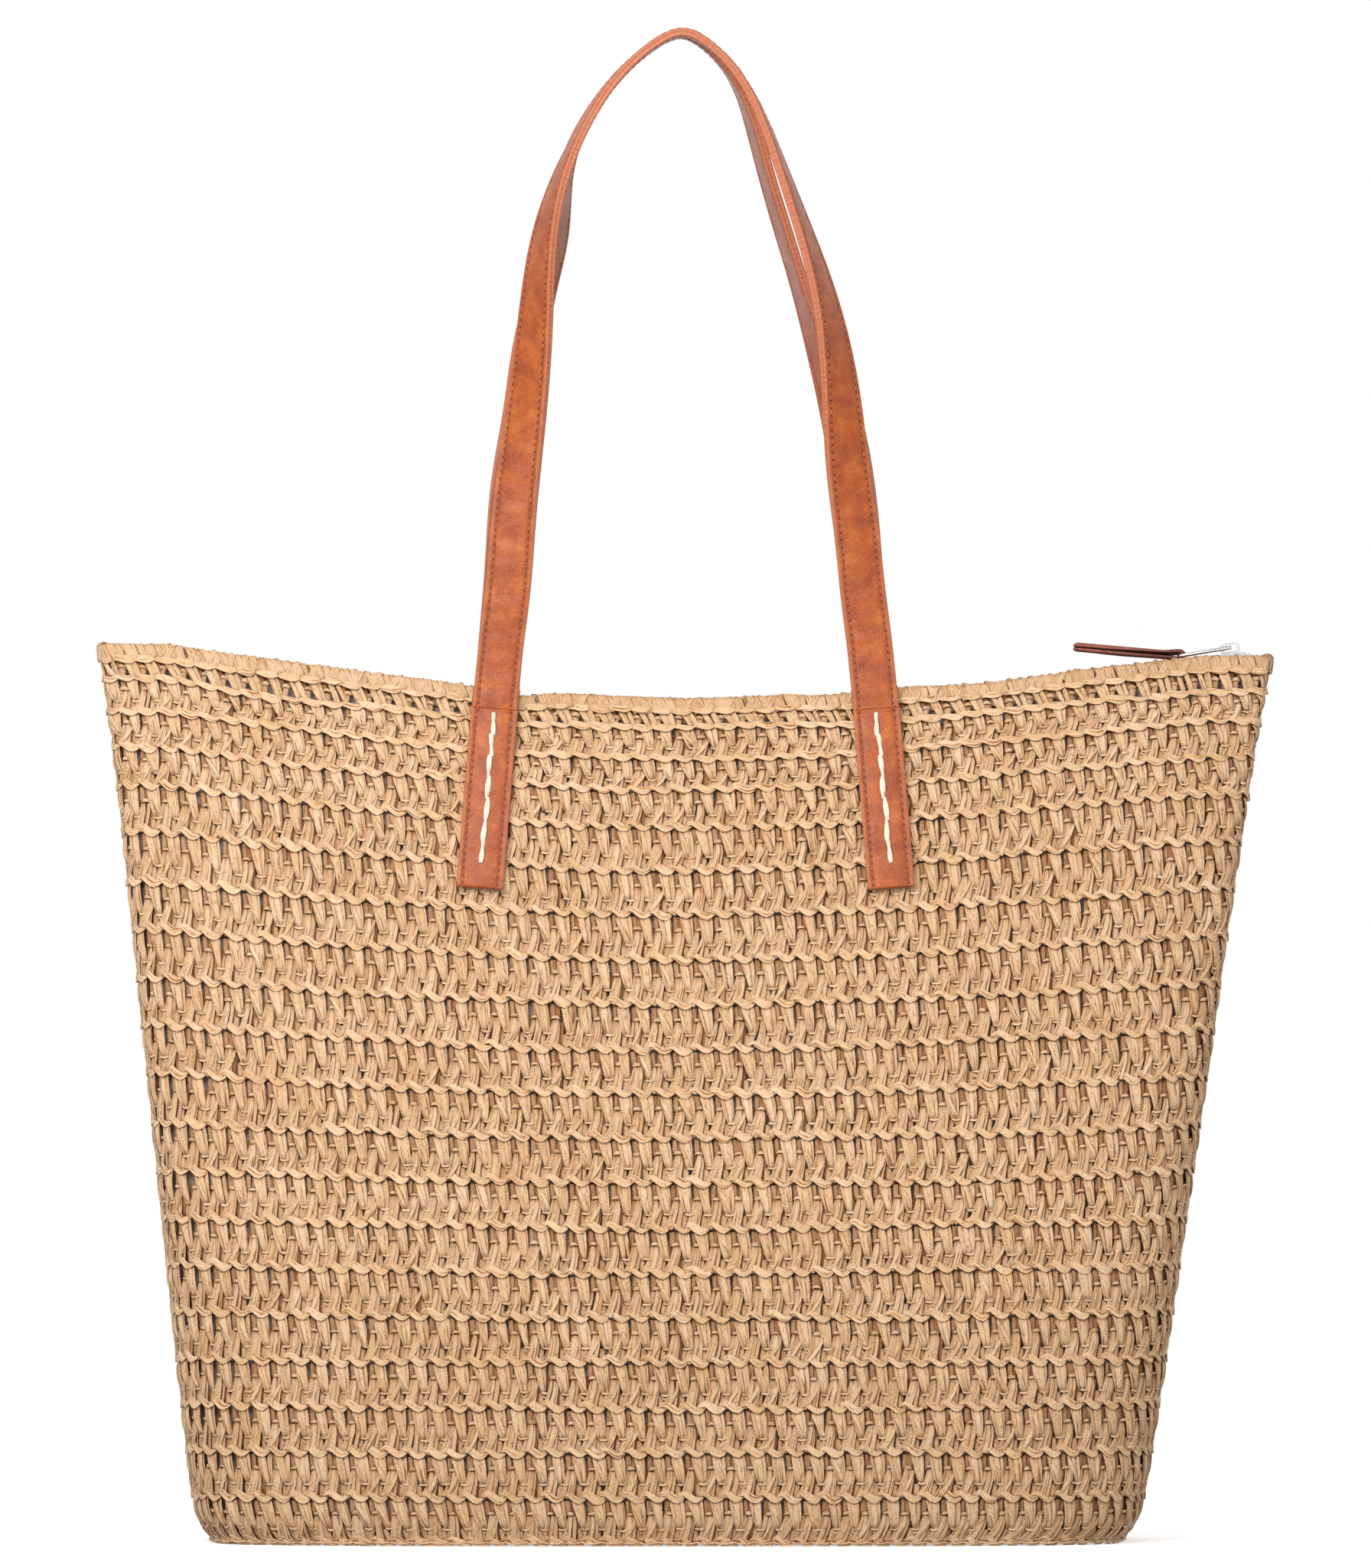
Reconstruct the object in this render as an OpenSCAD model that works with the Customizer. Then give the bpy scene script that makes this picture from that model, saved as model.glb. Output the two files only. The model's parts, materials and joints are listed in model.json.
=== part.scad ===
// Crocheted straw beach bag with two leather carrying straps and a zip across its mouth.
// Millimetres. +Z is up, the front panel faces -Y, the origin is under the middle of the base.

/* [Bag] */
// Width across the flat mouth, corner to corner, at the rim
mouth_w = 484; // [460:1:510]
// Width of the walls where they meet the base
base_w = 387; // [370:1:410]
// Depth of the walls where they meet the base
base_d = 144; // [130:1:150]
// Depth over the two panels at the rim
mouth_d = 28; // [28:0.5:30]
// Height of the rim at the middle of the mouth
rim_h = 347.5; // [340:0.5:360]
// Rise of the rim from the middle to the corners
rim_rise = 20; // [16:0.5:22]
// How much lower the right corner is than the mean
rim_skew = 2.4; // [0:0.2:3]
// Thickness of the crocheted straw
straw_t = 4.5; // [4:0.1:4.6]
// Height of the edging band of the rim
edging_h = 9; // [7:0.5:12]
// Thickness of the straw base
base_t = 5; // [4:0.5:6]

/* [Handles] */
// Width of a strap
strap_w = 18.5; // [16:0.5:19]
// Thickness of one strap layer; a strap has two
layer_t = 1.7; // [1.4:0.1:1.8]
// Height of the strap's centre at the top of its arch
apex_h = 620; // [600:1:640]
// Radius of the arch at its top
crown_r = 19; // [17:0.5:21]
// Height at which the legs of the arch would reach their widest
spread_h = 386; // [370:1:400]
// Distance of each strap end from the middle, at the top of its tab
leg_x = 77.6; // [76:0.2:79]
// Height of the lower end of the tabs
tab_bottom_h = 268; // [262:1:276]
// Lean of the tabs, lower ends outwards, in degrees
tab_lean = 4.6; // [4:0.1:5]
// Hand stitches in each tab
stitches = 7; // [5:1:8]

/* [Zip] */
// Radius of the zip's curve along the mouth
zip_r = 1450; // [1445:1:1460]
// Height of the zip tape at the middle of the mouth
zip_h = 344.5; // [344:0.1:345]
// Length of the metal pull link between its two bars
link_len = 21.2; // [20:0.1:23]
// Length of the leather pull from the link's bar
pull_len = 43; // [36:1:46]
// Width of the leather pull
pull_w = 10.8; // [9:0.2:11]

/* [Hidden] */

straw_colour = [0.85, 0.69, 0.49];
rim_colour = [0.88, 0.73, 0.53];
lining_colour = [0.60, 0.50, 0.48];
leather_colour = [0.72, 0.37, 0.18];
backing_colour = [0.66, 0.35, 0.20];
pull_colour = [0.56, 0.29, 0.23];
metal_colour = [0.78, 0.79, 0.80];
thread_colour = [0.93, 0.88, 0.79];
tape_colour = [0.76, 0.66, 0.52];

// Shape of the shell. t runs from 0 at the floor to 1 at the rim.
mouth_a = mouth_w / 2;
mouth_b = mouth_d / 2;
base_a = base_w / 2;
base_b = base_d / 2;
corner_flare = 3;
foot_tuck = 4;
foot_turn = 36;
belly = 0.25;
corner_x = 219;
// Sideways lean of the soft body: where its base stands, from under the middle of its mouth
body_lean = -7.4;
rim_power = 1.6;
// Share of corner_x from which the rim runs level to its corners
rim_level = 0.975;
long_pts = 26;
end_pts = 10;

function half_w(t) = base_a + (mouth_a - corner_flare - base_a) * t + corner_flare * pow(t, 14)
    - foot_tuck * exp(-foot_turn * t);
function half_d(t) = mouth_b + (base_b - mouth_b) * (1 - t) * (1 + belly * t)
    - foot_tuck * exp(-foot_turn * t);
function squareness(t) = 4 + 4 * t * t;
function rim_z(x) = rim_h
    + (rim_rise - rim_skew * x / corner_x) * pow(min(abs(x) / corner_x, rim_level), rim_power);
function height_at(x, t) = t * rim_h + (rim_z(x) - rim_h) * pow(t, 1.5);

// Directions round the shell: more points on the long panels than on the narrow ends.
directions = concat(
    [for (i = [0 : long_pts - 1]) [-1 + 2 * i / long_pts, -1]],
    [for (i = [0 : end_pts - 1]) [1, -1 + 2 * i / end_pts]],
    [for (i = [0 : long_pts - 1]) [1 - 2 * i / long_pts, 1]],
    [for (i = [0 : end_pts - 1]) [-1, 1 - 2 * i / end_pts]]);

function reach(d, n) = pow(pow(abs(d[0]), n) + pow(abs(d[1]), n), -1 / n);
function shell_point(d, t, inset) = let (
        s = reach(d, squareness(t)),
        x = (half_w(t) - inset) * d[0] * s,
        y = (half_d(t) - inset) * d[1] * s)
    [x + body_lean * (1 - t), y, height_at(half_w(t) * d[0] * s, t)];
function shell_ring(t, inset) = [for (d = directions) shell_point(d, t, inset)];
function plan_outline(t, inset) = [for (d = directions) let (p = shell_point(d, t, inset)) [p[0], p[1]]];

// A closed band through a list of rings, each with the same number of points.
module ring_loft(rings) {
    n = len(rings[0]);
    m = len(rings);
    points = [for (r = rings) each r];
    faces = [for (j = [0 : m - 1]) for (i = [0 : n - 1]) let (
            a = j * n + i,
            b = j * n + (i + 1) % n,
            c = ((j + 1) % m) * n + (i + 1) % n,
            d = ((j + 1) % m) * n + i)
        each [[a, d, c], [a, c, b]]];
    polyhedron(points, faces, convexity = 6);
}

// A bar through a list of four-cornered sections, closed at both ends. Its two broad sides are split into
// triangles the same way, so two bars that lie on each other don't overlap where they twist.
module bar_loft(sections) {
    m = len(sections);
    points = [for (s = sections) each s];
    sides = [for (j = [0 : m - 2]) for (i = [0 : 3]) let (
            a = 4 * j + i,
            b = 4 * j + (i + 1) % 4,
            c = 4 * (j + 1) + (i + 1) % 4,
            d = 4 * (j + 1) + i)
        each i == 1 ? [[a, d, b], [b, d, c]] : [[a, d, c], [a, c, b]]];
    last = 4 * (m - 1);
    caps = [[0, 1, 2], [0, 2, 3], [last, last + 2, last + 1], [last, last + 3, last + 2]];
    polyhedron(points, concat(sides, caps), convexity = 6);
}

// The crocheted shell, its edging and the lining
foot_t = base_t / rim_h;
edging_t = 1 - edging_h / rim_h;
// Gap left where the rim's band meets the wall, so that their faces don't cross where the rim curves
layer_gap = 0.06;
rim_foot_t = edging_t + layer_gap / rim_h;
wall_ts = [for (k = [0 : 12]) foot_t + (edging_t - foot_t) * k / 12];
lining_gap = 2;
lining_t = 0.8;
lining_top_t = 0.953;
lining_foot_t = (base_t + 1.5) / rim_h;
lining_ts = [for (k = [0 : 8]) lining_foot_t + (lining_top_t - lining_foot_t) * k / 8];

module shell_band(ts, outer_inset, inner_inset) {
    up = [for (t = ts) shell_ring(t, outer_inset)];
    down = [for (k = [len(ts) - 1 : -1 : 0]) shell_ring(ts[k], inner_inset)];
    ring_loft(concat(up, down));
}

module straw_body() {
    color(straw_colour) shell_band(wall_ts, 0, straw_t);
}

module straw_base() {
    color(straw_colour) linear_extrude(base_t) polygon(plan_outline(foot_t, 1.5));
}

module straw_rim() {
    lip = 1.2;
    rings = [shell_ring(rim_foot_t, 0), shell_ring(0.992, 0), shell_ring(1, lip),
        shell_ring(1, straw_t - lip), shell_ring(0.992, straw_t), shell_ring(rim_foot_t, straw_t)];
    color(rim_colour) ring_loft(rings);
}

module lining_walls() {
    outer = straw_t + lining_gap;
    color(lining_colour) shell_band(lining_ts, outer, outer + lining_t);
}

module lining_base() {
    color(lining_colour) translate([0, 0, base_t + 0.3])
        linear_extrude(1) polygon(plan_outline(lining_foot_t, straw_t + lining_gap));
}

// The zip follows a wide arc whose centre is above the bag.
zip_centre_h = zip_h + zip_r;
coil_gap = 0.7;
coil_w = 1.5;
coil_t = 2;
tape_out = 6.8;
tape_t = 0.8;
flange_h = 10;
left_end = -8.85;
right_end = 9.24;
coil_left = -7.3;
coil_right = 9.15;
stop_len = 0.08;
slider_at = 8.93;

// Sweeps a section along the zip's arc. The section is drawn as [depth below the centre, forwards].
module zip_arc(from, to) {
    translate([0, 0, zip_centre_h]) rotate([90, 0, 0]) rotate([0, 0, from - 90])
        rotate_extrude(angle = to - from, $fn = 720) translate([zip_r, 0]) children();
}

// Puts its children on the zip's arc, with X along the tape and Z away from it.
module on_zip(angle) {
    translate([0, 0, zip_centre_h]) rotate([0, -angle, 0]) translate([0, 0, -zip_r]) children();
}

module tape_section() {
    inner = coil_gap + coil_w;
    translate([-tape_t / 2, inner]) square([tape_t, tape_out - inner]);
    translate([-tape_t / 2, tape_out - tape_t]) square([flange_h, tape_t]);
}

module coil_section(thick) {
    translate([-thick / 2, coil_gap]) square([thick, coil_w]);
}

module zip_tape_front() {
    color(tape_colour) zip_arc(left_end, right_end) tape_section();
}

module zip_tape_back() {
    color(tape_colour) zip_arc(left_end, right_end) mirror([0, 1]) tape_section();
}

module zip_coil_front() {
    color(tape_colour) zip_arc(coil_left, coil_right) coil_section(coil_t);
}

module zip_coil_back() {
    color(tape_colour) zip_arc(coil_left, coil_right) mirror([0, 1]) coil_section(coil_t);
}

module zip_top_stops() {
    stop_t = 3;
    color(metal_colour) zip_arc(coil_right, coil_right + stop_len) coil_section(stop_t);
    color(metal_colour) zip_arc(coil_right, coil_right + stop_len) mirror([0, 1]) coil_section(stop_t);
}

module zip_bottom_stop() {
    stop_t = 3;
    width = 2 * (coil_gap + coil_w);
    color(metal_colour) zip_arc(coil_left - stop_len, coil_left)
        translate([-stop_t / 2, -width / 2]) square([stop_t, width]);
}

// Slider: two plates round the coils, joined by a narrow post that runs between them
slider_l = 11;
slider_w = 8;
slider_t = 5.2;
bridge_w = 3.2;
bridge_h = 4.4;
pin_r = 0.8;
pin_local = [-0.5, 0, 5.1];
slider_post_x = 3;

module zip_slider() {
    color(metal_colour) on_zip(slider_at) {
        difference() {
            translate([0, 0, -slider_t / 2]) linear_extrude(slider_t) intersection() {
                square([slider_l, slider_w], center = true);
                circle(r = 6.2, $fn = 64);
            }
            cube([2 * slider_l, 5, 2.8], center = true);
            cube([2 * slider_l, 2 * slider_w, 1.5], center = true);
        }
        translate([slider_post_x, 0, 0]) cube([2.4, 0.8, 3], center = true);
    }
}

// Arched loop on the slider's top plate, open from side to side for the link's bar
module zip_slider_bridge() {
    color(metal_colour) on_zip(slider_at)
        translate([0, bridge_w / 2, slider_t / 2]) rotate([90, 0, 0]) linear_extrude(bridge_w) difference() {
            union() {
                translate([-4.5, 0]) square([8, bridge_h - 1.6]);
                translate([-2.9, 0]) square([4.8, bridge_h]);
                translate([-2.9, bridge_h - 1.6]) circle(r = 1.6, $fn = 32);
                translate([1.9, bridge_h - 1.6]) circle(r = 1.6, $fn = 32);
            }
            translate([-3, 1]) square([5, 2.5]);
        }
}

// World place of the link's bar in the slider, and of its far bar
link_drop = 9.5;
pull_rise = 5;
pin_x = zip_r * sin(slider_at) + pin_local[0] * cos(slider_at) - pin_local[2] * sin(slider_at);
pin_z = zip_centre_h - zip_r * cos(slider_at) + pin_local[0] * sin(slider_at) + pin_local[2] * cos(slider_at);
bar_x = pin_x - link_len * cos(link_drop);
bar_z = pin_z - link_len * sin(link_drop);
link_half = 6.6;

module cross_bar(x, length) {
    translate([x, length / 2, 0]) rotate([90, 0, 0]) cylinder(h = length, r = pin_r, $fn = 32);
}

module zip_pull_link() {
    color(metal_colour) translate([pin_x, 0, pin_z]) rotate([0, -link_drop, 0]) {
        cross_bar(0, 2 * link_half);
        cross_bar(-link_len, 2 * link_half);
        for (side = [-1, 1])
            translate([-link_len / 2, side * link_half, 0])
                cube([link_len + 2 * pin_r, 1.6, 1.6], center = true);
    }
}

// One strip of leather folded round the link's far bar, its two ends lying on each other
module zip_pull_leather() {
    ply = 1.3;
    slit = 0.4;
    total = 2 * ply + slit;
    loop_r = 1.15;
    color(pull_colour) translate([bar_x, 0, bar_z]) rotate([0, pull_rise, 0])
        translate([0, pull_w / 2, 0]) rotate([90, 0, 0]) linear_extrude(pull_w) difference() {
            union() {
                circle(r = loop_r + ply, $fn = 48);
                translate([-pull_len, -total / 2]) square([pull_len, total]);
            }
            circle(r = loop_r, $fn = 48);
            translate([-pull_len - 1, -slit / 2]) square([pull_len + 1 - loop_r - 1, slit]);
        }
}

// Route of a strap: an arch over both legs, named by its depth h below the crown.
// s runs from -1 at the left fold to 1 at the right fold. Each strap hangs in its own slack way, so its
// legs lean by a few rises, each written [outward mm, depth, length], and turn earlier or later.
fold_h = 353.5;
arch_depth = apex_h - fold_h;
stations = 52;
crown_peak = 12;
shoulder = 2.2;
strap_gap = 0.06;
crown_y = 10;
fold_y = 16.5;

function bump(h, at, width) = exp(-pow((h - at) / width, 2));
function rises(h, list) = [for (r = list) r[0] * bump(h, r[1], r[2])] * [for (r = list) 1];
function crown(h) = crown_r - crown_peak * exp(-h / 10);
function arch_half(h) = sqrt(2 * crown(h) * h / (1 + h / spread_h)) + shoulder * bump(h, 85, 45);
function arch_point(s, hang) = let (h = arch_depth * s * s)
    [sign(s) * (arch_half(h) + rises(h, hang[s < 0 ? 0 : 1])) - hang[2] * bump(h, 62, 52),
        -crown_y - (fold_y - crown_y) * h / arch_depth,
        apex_h - h];
function ease(v) = v * v * (3 - 2 * v);
function unit(v) = v / norm(v);

// Section of a strap layer: the strap lies flat along X at the legs and turns to lie flat at the crown.
function strap_section(s, hang, n0, n1) = let (
        ds = 0.004,
        h = arch_depth * s * s,
        p = arch_point(s, hang),
        tangent = unit(arch_point(s + ds, hang) - arch_point(s - ds, hang)),
        twist = 90 * ease(1 - (h + rises(h, hang[s < 0 ? 3 : 4])) / arch_depth),
        inward = unit(cross([0, 1, 0], tangent)),
        across = unit(cos(twist) * inward + sin(twist) * [0, -1, 0]),
        out = unit(cross(across, tangent)))
    [p + across * strap_w / 2 + out * n0, p + across * strap_w / 2 + out * n1,
        p - across * strap_w / 2 + out * n1, p - across * strap_w / 2 + out * n0];

module strap(hang, n0, n1) {
    bar_loft([for (k = [0 : stations]) strap_section(-1 + 2 * k / stations, hang, n0, n1)]);
}

// How each strap hangs: rises of its left and right leg, its sway to the left, and its legs' turning
front_hang = [
    [[-1.1, 228, 25]],
    [[0.9, 115, 35], [-1.6, 182, 28], [-1.1, 228, 25]],
    5.3,
    [[14, 100, 50]],
    [[-14, 100, 50]]];
back_hang = [
    [[-6.6, 81, 26], [1.3, 135, 22], [2, 185, 30]],
    [[-5.4, 76, 52], [-3.4, 118, 32], [-1.1, 228, 25]],
    7.2,
    [[0, 100, 50]],
    [[20, 35, 20], [-36, 112, 32]]];

module front_handle_outer() {
    color(leather_colour) strap(front_hang, strap_gap, layer_t);
}

module front_handle_backing() {
    color(backing_colour) strap(front_hang, -layer_t, -strap_gap);
}

module back_handle_outer() {
    color(leather_colour) mirror([0, 1, 0]) strap(back_hang, strap_gap, layer_t);
}

module back_handle_backing() {
    color(backing_colour) mirror([0, 1, 0]) strap(back_hang, -layer_t, -strap_gap);
}

// Strap ends, sewn flat on the panels. side is -1 left or 1 right; the back ones are mirrored.
tab_top_h = 350;
tab_top_y = 14.8;
tab_tilt = 11.1;
tab_len = (tab_top_h - tab_bottom_h) / cos(tab_tilt) / cos(tab_lean);

module on_panel(side) {
    translate([side * leg_x, -tab_top_y, tab_top_h])
        rotate([-tab_tilt, 0, 0]) rotate([0, -tab_lean * side, 0])
        children();
}

module tab_layer(side, y0, y1) {
    on_panel(side) translate([-strap_w / 2, -y1, -tab_len]) cube([strap_w, y1 - y0, tab_len]);
}

module tab(side) {
    color(leather_colour) tab_layer(side, layer_t + strap_gap, 2 * layer_t);
}

module tab_backing(side) {
    color(backing_colour) tab_layer(side, 0, layer_t - strap_gap);
}

module anchor_patch(side) {
    patch_w = 24;
    patch_l = 62;
    inside = straw_t + 0.9;
    color(lining_colour) on_panel(side) translate([-patch_w / 2, inside, -tab_len])
        cube([patch_w, 1, patch_l]);
}

module stitch_row(side) {
    first = 14.4;
    pitch = 8.9;
    for (k = [0 : stitches - 1])
        on_panel(side) translate([-1.3, -2 * layer_t - 1.1, -first - pitch * k - 4.2]) cube([2.6, 1.1, 8.4]);
}

module hand_stitches() {
    color(thread_colour) for (side = [-1, 1]) {
        stitch_row(side);
        mirror([0, 1, 0]) stitch_row(side);
    }
}

straw_body();
straw_base();
straw_rim();
lining_walls();
lining_base();
zip_tape_front();
zip_tape_back();
zip_coil_front();
zip_coil_back();
zip_top_stops();
zip_bottom_stop();
zip_slider();
zip_slider_bridge();
zip_pull_link();
zip_pull_leather();
front_handle_outer();
front_handle_backing();
back_handle_outer();
back_handle_backing();
tab(-1);  // front_left_tab
tab(1);  // front_right_tab
mirror([0, 1, 0]) tab(-1);  // back_left_tab
mirror([0, 1, 0]) tab(1);  // back_right_tab
tab_backing(-1);  // front_left_tab_backing
tab_backing(1);  // front_right_tab_backing
mirror([0, 1, 0]) tab_backing(-1);  // back_left_tab_backing
mirror([0, 1, 0]) tab_backing(1);  // back_right_tab_backing
anchor_patch(-1);  // front_left_anchor_patch
anchor_patch(1);  // front_right_anchor_patch
mirror([0, 1, 0]) anchor_patch(-1);  // back_left_anchor_patch
mirror([0, 1, 0]) anchor_patch(1);  // back_right_anchor_patch
hand_stitches();
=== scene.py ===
"""Crocheted straw beach bag with leather carrying straps and a zip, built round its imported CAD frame.

Shapes are worked out in millimetres, in the frame's own axes, and written to the meshes in metres.
"""
import json
import math

import bpy
import numpy as np
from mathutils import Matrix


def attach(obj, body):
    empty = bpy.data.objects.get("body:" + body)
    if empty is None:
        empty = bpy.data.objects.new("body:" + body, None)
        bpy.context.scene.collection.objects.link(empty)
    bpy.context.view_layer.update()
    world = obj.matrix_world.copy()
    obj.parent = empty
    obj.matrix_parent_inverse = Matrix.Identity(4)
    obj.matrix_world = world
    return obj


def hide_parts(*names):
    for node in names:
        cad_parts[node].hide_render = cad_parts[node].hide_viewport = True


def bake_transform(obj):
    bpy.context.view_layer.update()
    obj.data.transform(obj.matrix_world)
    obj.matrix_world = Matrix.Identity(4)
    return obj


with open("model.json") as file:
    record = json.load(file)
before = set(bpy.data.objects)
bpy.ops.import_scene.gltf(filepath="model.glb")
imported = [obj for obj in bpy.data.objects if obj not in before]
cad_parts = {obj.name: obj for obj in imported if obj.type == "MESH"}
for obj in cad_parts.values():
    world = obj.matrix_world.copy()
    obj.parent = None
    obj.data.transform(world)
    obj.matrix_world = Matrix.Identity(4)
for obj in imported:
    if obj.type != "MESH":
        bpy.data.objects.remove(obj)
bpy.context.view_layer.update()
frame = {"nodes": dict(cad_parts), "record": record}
MM = 0.001
random = np.random.default_rng(41)

# ------------------------------------------------------------------ the shell's own sizes, as in the CAD
MOUTH_A = 242.0
MOUTH_B = 14.0
BASE_A = 193.5
BASE_B = 72.0
RIM_H = 347.5
RIM_RISE = 20.0
RIM_SKEW = 2.4
CORNER_X = 219.0
BODY_LEAN = -7.4
LAYER_T = 1.7
STRAP_W = 18.5
APEX_H = 620.0
FOLD_H = 353.5
TAB_TOP = (77.6, -14.8, 350.0)
TAB_TILT = math.radians(11.1)
TAB_LEAN = math.radians(4.6)
TAB_LEN = 83.8
LINING_INSET = 4.7
LIP_R = 2.2
LIP_START = 8.0
ZIP_R = 1450.0
STITCHES = 118
RIM_LEVEL = 0.975
SPINE_HALF = 118
ZIP_CENTRE = 344.5 + ZIP_R
PULL_RISE = math.radians(5)
WIRE_R = 0.8

# ------------------------------------------------------------------ meshes
def unit(v):
    return v / np.maximum(np.linalg.norm(v, axis=-1, keepdims=True), 1e-9)


def lengths(points):
    """Distance along a line of points, at each of them."""
    return np.concatenate([[0], np.cumsum(np.linalg.norm(np.diff(points, axis=0), axis=1))])


def resample(at, along, table):
    """The columns of table, which are known at along, at other places."""
    return np.stack([np.interp(at, along, column) for column in table.T], axis=1)


def make_mesh(name, verts, faces, attributes=None, smooth=True):
    """verts in millimetres; faces is a list of (F, corners) index arrays; attributes are per point."""
    mesh = bpy.data.meshes.new(name)
    mesh.vertices.add(len(verts))
    mesh.vertices.foreach_set("co", (np.asarray(verts) * MM).astype(np.float32).ravel())
    corners = np.concatenate([f.ravel() for f in faces]).astype(np.int32)
    sizes = np.concatenate([np.full(len(f), f.shape[1]) for f in faces])
    starts = np.concatenate([[0], np.cumsum(sizes)[:-1]]).astype(np.int32)
    mesh.loops.add(len(corners))
    mesh.loops.foreach_set("vertex_index", corners)
    mesh.polygons.add(len(sizes))
    mesh.polygons.foreach_set("loop_start", starts)
    mesh.update(calc_edges=True)
    mesh.polygons.foreach_set("use_smooth", np.full(len(sizes), smooth))
    for key, values in (attributes or {}).items():
        values = np.asarray(values, dtype=np.float32)
        kind, field = ("FLOAT", "value") if values.ndim == 1 else ("FLOAT_VECTOR", "vector")
        mesh.attributes.new(key, kind, "POINT").data.foreach_set(field, values.ravel())
    obj = bpy.data.objects.new(name, mesh)
    bpy.context.collection.objects.link(obj)
    return obj


def tube_faces(count, rings, ring, closed=False):
    """Quads of count tubes, each of rings rings of ring points, with a face over each end."""
    i = np.arange(rings if closed else rings - 1)[:, None]
    j = np.arange(ring)[None, :]
    up = (i + 1) % rings
    right = (j + 1) % ring
    quads = np.stack([i * ring + j, up * ring + j, up * ring + right, i * ring + right], axis=-1)
    quads = quads.reshape(-1, 4)
    first = (np.arange(count) * rings * ring)[:, None, None]
    faces = [(quads[None] + first).reshape(-1, 4)]
    if not closed:
        low = np.arange(ring)[None, None, :]
        high = ((rings - 1) * ring + np.arange(ring)[::-1])[None, None, :]
        faces.append((np.concatenate([low, high], axis=1) + first).reshape(-1, ring))
    return faces


def finish_piece(obj, body, slot, material, *nodes):
    obj.data.materials.append(material)
    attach(obj, body)
    if nodes:
        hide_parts(*nodes)
    return obj


# ------------------------------------------------------------------ the shell's surface
def half_w(t):
    return BASE_A + (MOUTH_A - 3 - BASE_A) * t + 3 * t**14 - 4 * np.exp(-36 * t) - 5 * np.exp(-90 * t)


def half_d(t):
    return MOUTH_B + (BASE_B - MOUTH_B) * (1 - t) * (1 + 0.25 * t) - 4 * np.exp(-36 * t)


def rim_z(x):
    return RIM_H + (RIM_RISE - RIM_SKEW * x / CORNER_X) * np.minimum(np.abs(x) / CORNER_X, RIM_LEVEL) ** 1.6


def rim_slack(x, y):
    """How far the soft rim sags beside the straps, and how its front stands up towards the left corner."""
    sag = 3.3 * np.exp(-(((x + 72) / 15) ** 2)) + 1.6 * np.exp(-(((x - 62) / 18) ** 2))
    sag += 1.9 * np.exp(-(((x - 122) / 30) ** 2)) + 0.6 * np.exp(-((x / 60) ** 2))
    return sag - 1.2 * np.exp(-(((x + 150) / 55) ** 2)) * np.clip(-y / 8, 0, 1)


def height_at(x, t):
    return t * RIM_H + (rim_z(x) - RIM_H) * t**1.5


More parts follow.
